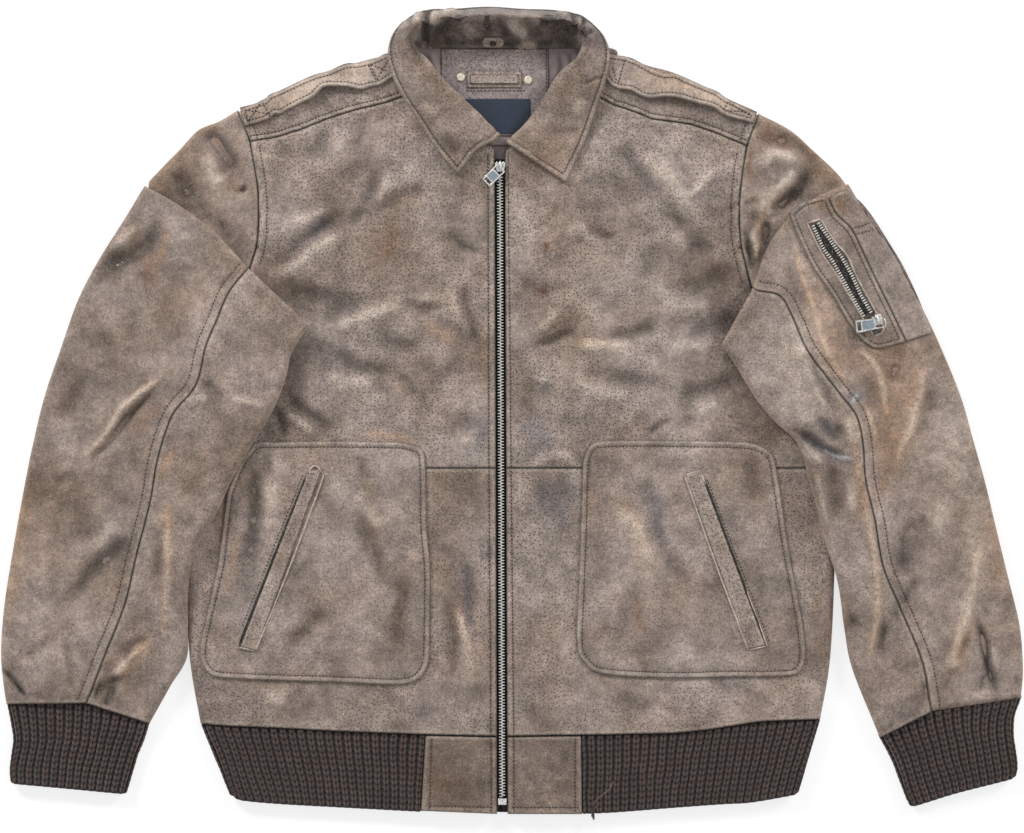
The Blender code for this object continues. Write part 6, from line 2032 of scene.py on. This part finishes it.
def box_outline(left, right, low, high, radius=0.4):
    return rounded([(left, low), (right, low), (right, high), (left, high)], radius)


WINGS = rounded(
    [(-5.1, 2.2), (-3.2, 4.9), (-1.6, 3.6), (1.6, 3.6), (3.2, 4.9), (5.1, 2.2), (3.4, -4.9), (-3.4, -4.9)], 1.3
)
CROWN_SIDES = 12


def slider_top(name, place, turn, floor, node):
    """A slider: its winged plate, and the crown that the pull hangs on."""
    plate(name + "_plate", [WINGS], floor, floor + 1.5, 0.5, place, turn, STEEL, "zip_metal", node)
    path = [(0, 5.0 * cos(t), floor + 0.9 + 3.2 * sin(t) ** 0.6) for t in np.linspace(0, pi, 17)]
    points = []
    for i, (x, y, z) in enumerate(path):
        before, after = path[max(i - 1, 0)], path[min(i + 1, len(path) - 1)]
        way = unit(np.array(after) - np.array(before))
        up = unit(np.cross((1, 0, 0), way))
        for a in (2 * pi * k / CROWN_SIDES for k in range(CROWN_SIDES)):
            points.append(np.array([x, y, z]) + np.array([1, 0, 0]) * 1.15 * cos(a) + up * 0.55 * sin(a))
    points = set_down(np.array(points), (*place, 0), turn)
    made = mesh_of(name + "_crown", points, tube_faces(len(path), CROWN_SIDES), STEEL, "zip_metal")
    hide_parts(node)


def teeth(name, left_line, right_line, low, high, reach, overlap, pitch, width, node=None, base=None):
    """Two rows of moulded teeth, each with its tip towards the other row."""
    bm = bmesh.new()
    bmesh.ops.create_cube(bm, size=1)
    bmesh.ops.bevel(bm, geom=list(bm.edges), offset=0.16, segments=2, affect="EDGES")
    shape = np.array([v.co[:] for v in bm.verts])
    shape_faces = [tuple(v.index for v in f.verts) for f in bm.faces]
    bm.free()
    points, faces = [], []
    for number, (line, inward_way) in enumerate(((left_line, 1), (right_line, -1))):
        line = np.array(line, float)
        along = lengths_along(line)
        for place in np.arange(pitch * (0.5 + 0.5 * number), along[-1], pitch):
            spot = np.array([np.interp(place, along, line[:, i]) for i in (0, 1)])
            way = unit(line[-1] - line[0])
            across = np.array([-way[1], way[0]]) * inward_way
            local = shape * np.array([reach, width, high - low])
            local[:, 1] *= 1 - 0.25 * (shape[:, 0] < 0)
            plan_spot = spot + across * (overlap - reach / 2)
            out = plan_spot + local[:, :1] * across + local[:, 1:2] * way
            height = (low + high) / 2 + local[:, 2] + (base(plan_spot[None])[0] if base else 0)
            start = len(points) * len(shape)
            points.append(np.column_stack([out, height]))
            faces += [tuple(start + i for i in (f if inward_way > 0 else f[::-1])) for f in shape_faces]
    made = mesh_of(name, np.vstack(points), faces, TOOTH, "zip_metal")
    made.data.set_sharp_from_angle(angle=radians(40))
    if node:
        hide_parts(node)
    return made


def tape_look():
    look = Look("zip_tape", 0.9, sheen=0.3, specular=0.2)
    wave = look.add("TexWave")
    wave.bands_direction = "Y"
    look.put(wave.inputs["Vector"], look.mm)
    wave.inputs["Scale"].default_value = 0.22
    wave.inputs["Distortion"].default_value = 1.5
    thread = wave.outputs[0]
    return look.finish(look.mix(thread, linear(14, 13, 13), linear(46, 43, 42)), thread, 0.3)


TAPE = tape_look()
# Where each slider and each pull is, and how it is turned.
MAIN_SLIDER, MAIN_PULL = ((-10.9, 226.6), 0), ((-10.9, 225.8), -45.9)
SLEEVE_SLIDER, SLEEVE_PULL = ((336.7, 84.6), 24.8), ((336.7, 85.2), -82.9)
for side in SIDES:
    flat_piece(side + "_zip_tape", TAPE, "tape", plane(0.0), spacing=6.0)
middle = np.array(((-11.2, 219.5), (-9.05, -357.5)))
teeth("metal_zip_teeth", middle, middle, 8.4, 11.9, 3.5, 0.7, 2.75, 1.05, "zip_chain")
slider_top("metal_zip_slider", *MAIN_SLIDER, 14.0, "zip_slider")
PULL = rounded(
    [(-4.2, 0.6), (6.2, 0.6), (6.2, -5.4), (6.3, -8.4), (6.3, -19.6), (-3.9, -19.6), (-3.9, -9.4), (-4.2, -5.4)], 1.0
)
# The eye that it hangs by, the window that its panel fills, and the slot near its end.
PULL_HOLES = [
    box_outline(-3.0, 5.0, -5.4, -0.6, 1.0), box_outline(-2.7, 5.1, -14.4, -7.0, 0.6),
    box_outline(-2.5, 4.9, -18.2, -15.4, 0.5),
]
for name, outlines, low, high, bevel, look in (
    ("metal_zip_pull", [PULL, *PULL_HOLES], 15.9, 17.1, 0.25, STEEL),
    ("metal_zip_pull_panel", [box_outline(-3.0, 5.4, -14.7, -6.7, 0.4)], 16.1, 16.8, 0.1, ENAMEL.made),
):
    plate(name, outlines, low, high, bevel, *MAIN_PULL, look, "zip_metal", "zip_pull", "main_pull")
plate(
    "metal_zip_box", [box_outline(-4, 4, -3, 3, 0.8)], 8.6, 13.0, 0.5, (-9.0, -361.2), 0, STEEL, "zip_metal", "zip_box"
)

# The sleeve's zip, on the pocket's patch, which it opens.


def on_pocket(p):
    return sleeves["left"].top(p) + GAP + PATCH


LEFT_RIM = ((271.9, 173.1), (285.3, 146), (302.7, 120.7), (324.9, 84.2), (334.4, 70))
RIGHT_RIM = ((283.7, 176.9), (296.4, 157.2), (309.1, 142.9), (318.6, 122.3), (340.8, 82.7), (341.6, 73.2), (334.4, 70))
zip_plan = Plan([(False, curved(line, 1.5)) for line in (LEFT_RIM, RIGHT_RIM[::-1], (RIGHT_RIM[0], LEFT_RIM[0]))])
zip_lines = zip_plan.lines(False)
points, faces = slab_shell(
    zip_plan, lambda p: on_pocket(p) + 0.9 - 0.6 * quarter(nearest_of(p, zip_lines)[0] / 1.2), on_pocket
)
LEFT_TEETH = ((277.4, 172.2), (286.9, 150.8), (296.4, 138.1), (309.1, 115.9), (317, 101.8), (325.7, 87.4))
RIGHT_TEETH = ((279.8, 174.5), (290.1, 159.6), (302.7, 141.4), (312.2, 125.5), (320.2, 108), (330.5, 90.6))
gap = within(points, np.array(LEFT_TEETH + RIGHT_TEETH[::-1], float))[:, None]
shades = np.where(gap, BLACK, linear(84, 74, 68)) * (1 + 0.3 * fractal(points[:, 0], points[:, 1], 5, 2, 95))[:, None]
shades = np.column_stack([shades, np.zeros(len(points))])
pieces["sleeve_zip_tape"] = mesh_of("cloth_sleeve_zip_tape", points, faces, LEATHER, "tape", shades)
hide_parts("sleeve_zip_tape")
cut(pieces["sleeve_zip_tape"], zip_plan.loop(), ("sleeve_pocket",))
teeth("metal_sleeve_teeth", LEFT_TEETH, RIGHT_TEETH, 0.9, 3.1, 3.4, 0.6, 2.5, 1.2, base=on_pocket)
for number, line in enumerate((RIGHT_RIM, LEFT_RIM, (LEFT_RIM[0], RIGHT_RIM[0]))):
    cord(f"sleeve_zip_rim_{number}", pieces["sleeve_pocket"], line, 1.1, PALE * 0.9)
slider_top("metal_sleeve_slider", *SLEEVE_SLIDER, 25.18, "sleeve_slider")
SIDE_PULL = rounded(
    [(-0.6, 5.4), (1.4, 7.4), (6.9, 7.4), (8.9, 5.4), (8.9, -2.7), (10.3, -15.8), (10.3, -20.8), (-1.0, -20.8),
     (-1.0, -14.8), (-0.6, -2.7)],
    1.0,
)
SIDE_HOLES = [
    box_outline(0.6, 7.7, -2.7, 6.2, 1.4), box_outline(0.6, 8.2, -14.6, -4.2, 0.6),
    box_outline(0.7, 8.6, -19.3, -15.9, 0.5),
]
for name, outlines, low, high, bevel, look in (
    ("metal_sleeve_pull", [SIDE_PULL, *SIDE_HOLES], 27.08, 28.28, 0.25, STEEL),
    ("metal_sleeve_pull_panel", [box_outline(0.3, 8.5, -14.9, -3.9, 0.4)], 27.25, 27.95, 0.1, ENAMEL.made),
):
    plate(name, outlines, low, high, bevel, *SLEEVE_PULL, look, "zip_metal", "sleeve_pull", "sleeve_pull_tab")

# The tab on the collar stand's inner face.
STAND_FOOT, STAND_RISE = np.array((0, 339, 6.4)), unit(np.array((0, 22.4, 25.6)))
STAND_FACE = np.cross((1, 0, 0), STAND_RISE)
TAB_OUTLINE = np.array(rounded([(-28, 0.7), (-7, 0.7), (-7, 13.6), (-28, 13.6)], 6.0, 9))
TAB_THICK = 2.0


def on_stand(x, rise, level):
    return STAND_FOOT + np.array((x, 0, 0)) + STAND_RISE * rise + STAND_FACE * level


def stand_level(spot):
    """How far the collar's inner side stands off the plane of its stand, at most, round a spot."""
    start = Vector(on_stand(*spot, 30)) * MM
    found = pieces["collar"].ray_cast(start, -Vector(STAND_FACE))
    return 30 - (found[1] - start).length / MM if found[0] else 2.4


tab_plan = Plan([(False, resampled(shut(TAB_OUTLINE), 1.0))])
tab_base = 0.3 + max(stand_level(spot) for spot in ((-26, 2), (-17, 2), (-9, 2), (-26, 9), (-17, 12), (-9, 9)))
tab_lines = tab_plan.lines(False)
points, faces = slab_shell(
    tab_plan, lambda p: tab_base + TAB_THICK - 1.8 * quarter(nearest_of(p, tab_lines)[0] / 2), plane(tab_base), 1.5
)
colours = hide(points, 91, (), brown=0.2, edges=tab_lines)
spots = on_stand(0, 0, 0) + np.outer(points[:, 0], (1, 0, 0)) + np.outer(points[:, 1], STAND_RISE)
spots = spots + np.outer(points[:, 2], STAND_FACE)
pieces["collar_tab"] = mesh_of("cloth_collar_tab", spots, faces, LEATHER, "leather", colours)
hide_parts("collar_tab")
cut(pieces["collar_tab"], TAB_OUTLINE, (pieces["collar"],))
TAB_SNAP = ((0, 1.5), (0.8, 1.4), (1.1, 0.5), (1.9, 0.5), (2.3, 1.3), (2.9, 1.2), (3.1, 0.2), (3.0, 0))
snap_place = on_stand(-17.7, 6.8, tab_base + TAB_THICK)
turned("metal_collar_tab_snap", TAB_SNAP, snap_place, STAND_FACE, DARK_METAL, "snap", "collar_tab_snap")

# Camera, floor and light ------------------------------------------------------------------------------------

camera = bpy.data.objects.new("camera", bpy.data.cameras.new("camera"))
bpy.context.scene.collection.objects.link(camera)
# Metres on the floor across the picture and down to its middle, then the lens and the sensor in mm.
PICTURE, LOWERED = 0.952, 0.00465
LENS, SENSOR = 110, 36
camera.data.lens, camera.data.sensor_width = LENS, SENSOR
camera.location = (0, -LOWERED, PICTURE * LENS / SENSOR)
bpy.context.scene.camera = camera

floor_mesh = bpy.data.meshes.new("floor")
FLOOR, FLOOR_REACH = -0.0005, 3  # its height and its half width in metres
FLOOR_GLOW = 0.72
corners = [(x * FLOOR_REACH, y * FLOOR_REACH, FLOOR) for x, y in ((-1, -1), (1, -1), (1, 1), (-1, 1))]
floor_mesh.from_pydata(corners, [], [(0, 1, 2, 3)])
ground = bpy.data.objects.new("floor", floor_mesh)
bpy.context.scene.collection.objects.link(ground)
# What looks at the floor sees it white, with the jacket's shadow. Its light on the jacket is that of plain paper.
paper = Look("floor_paper", 0.9)
rays = paper.add("LightPath")
seen = paper.math("MAXIMUM", paper.math("MAXIMUM", rays.outputs["Is Camera Ray"], rays.outputs["Is Glossy Ray"]),
                  rays.outputs["Is Transmission Ray"])
paper.put(paper.surface.inputs["Emission Strength"], paper.math("MULTIPLY", seen, FLOOR_GLOW))
paper.surface.inputs["Emission Color"].default_value = (1, 1, 1, 1)
paper.finish(paper.mix(seen, (0.9, 0.9, 0.9), (0.4, 0.4, 0.4)))
floor_mesh.materials.append(paper.made)


def lamp(name, place, size, power):
    made = bpy.data.objects.new(name, bpy.data.lights.new(name, "AREA"))
    bpy.context.scene.collection.objects.link(made)
    made.data.shape, made.data.size, made.data.energy = "SQUARE", size, power
    made.location = place
    made.rotation_euler = (-Vector(place)).to_track_quat("-Z", "Y").to_euler()


lamp("key", (-2.0, 2.3, 1.6), 0.8, 72)
lamp("second", (2.4, 1.9, 1.7), 0.8, 50)
lamp("fill", (0.6, -1.8, 2.6), 2.5, 12)
WORLD_LIGHT = 0.34
world = bpy.data.worlds.new("world")
bpy.context.scene.world = world
world.use_nodes = True
backdrop = world.node_tree.nodes["Background"]
backdrop.inputs[0].default_value = (1, 1, 1, 1)
# White to what looks at it, and the plain light of a room to everything else.
rays = world.node_tree.nodes.new("ShaderNodeLightPath")
strength = rays.outputs["Is Camera Ray"]
for operation, other in (
    ("MAXIMUM", rays.outputs["Is Glossy Ray"]), ("MAXIMUM", rays.outputs["Is Transmission Ray"]),
    ("MAXIMUM", WORLD_LIGHT),
):
    step = world.node_tree.nodes.new("ShaderNodeMath")
    step.operation = operation
    world.node_tree.links.new(strength, step.inputs[0])
    if isinstance(other, float):
        step.inputs[1].default_value = other
    else:
        world.node_tree.links.new(other, step.inputs[1])
    strength = step.outputs[0]
world.node_tree.links.new(strength, backdrop.inputs[1])
bpy.context.scene.view_settings.view_transform = "Standard"
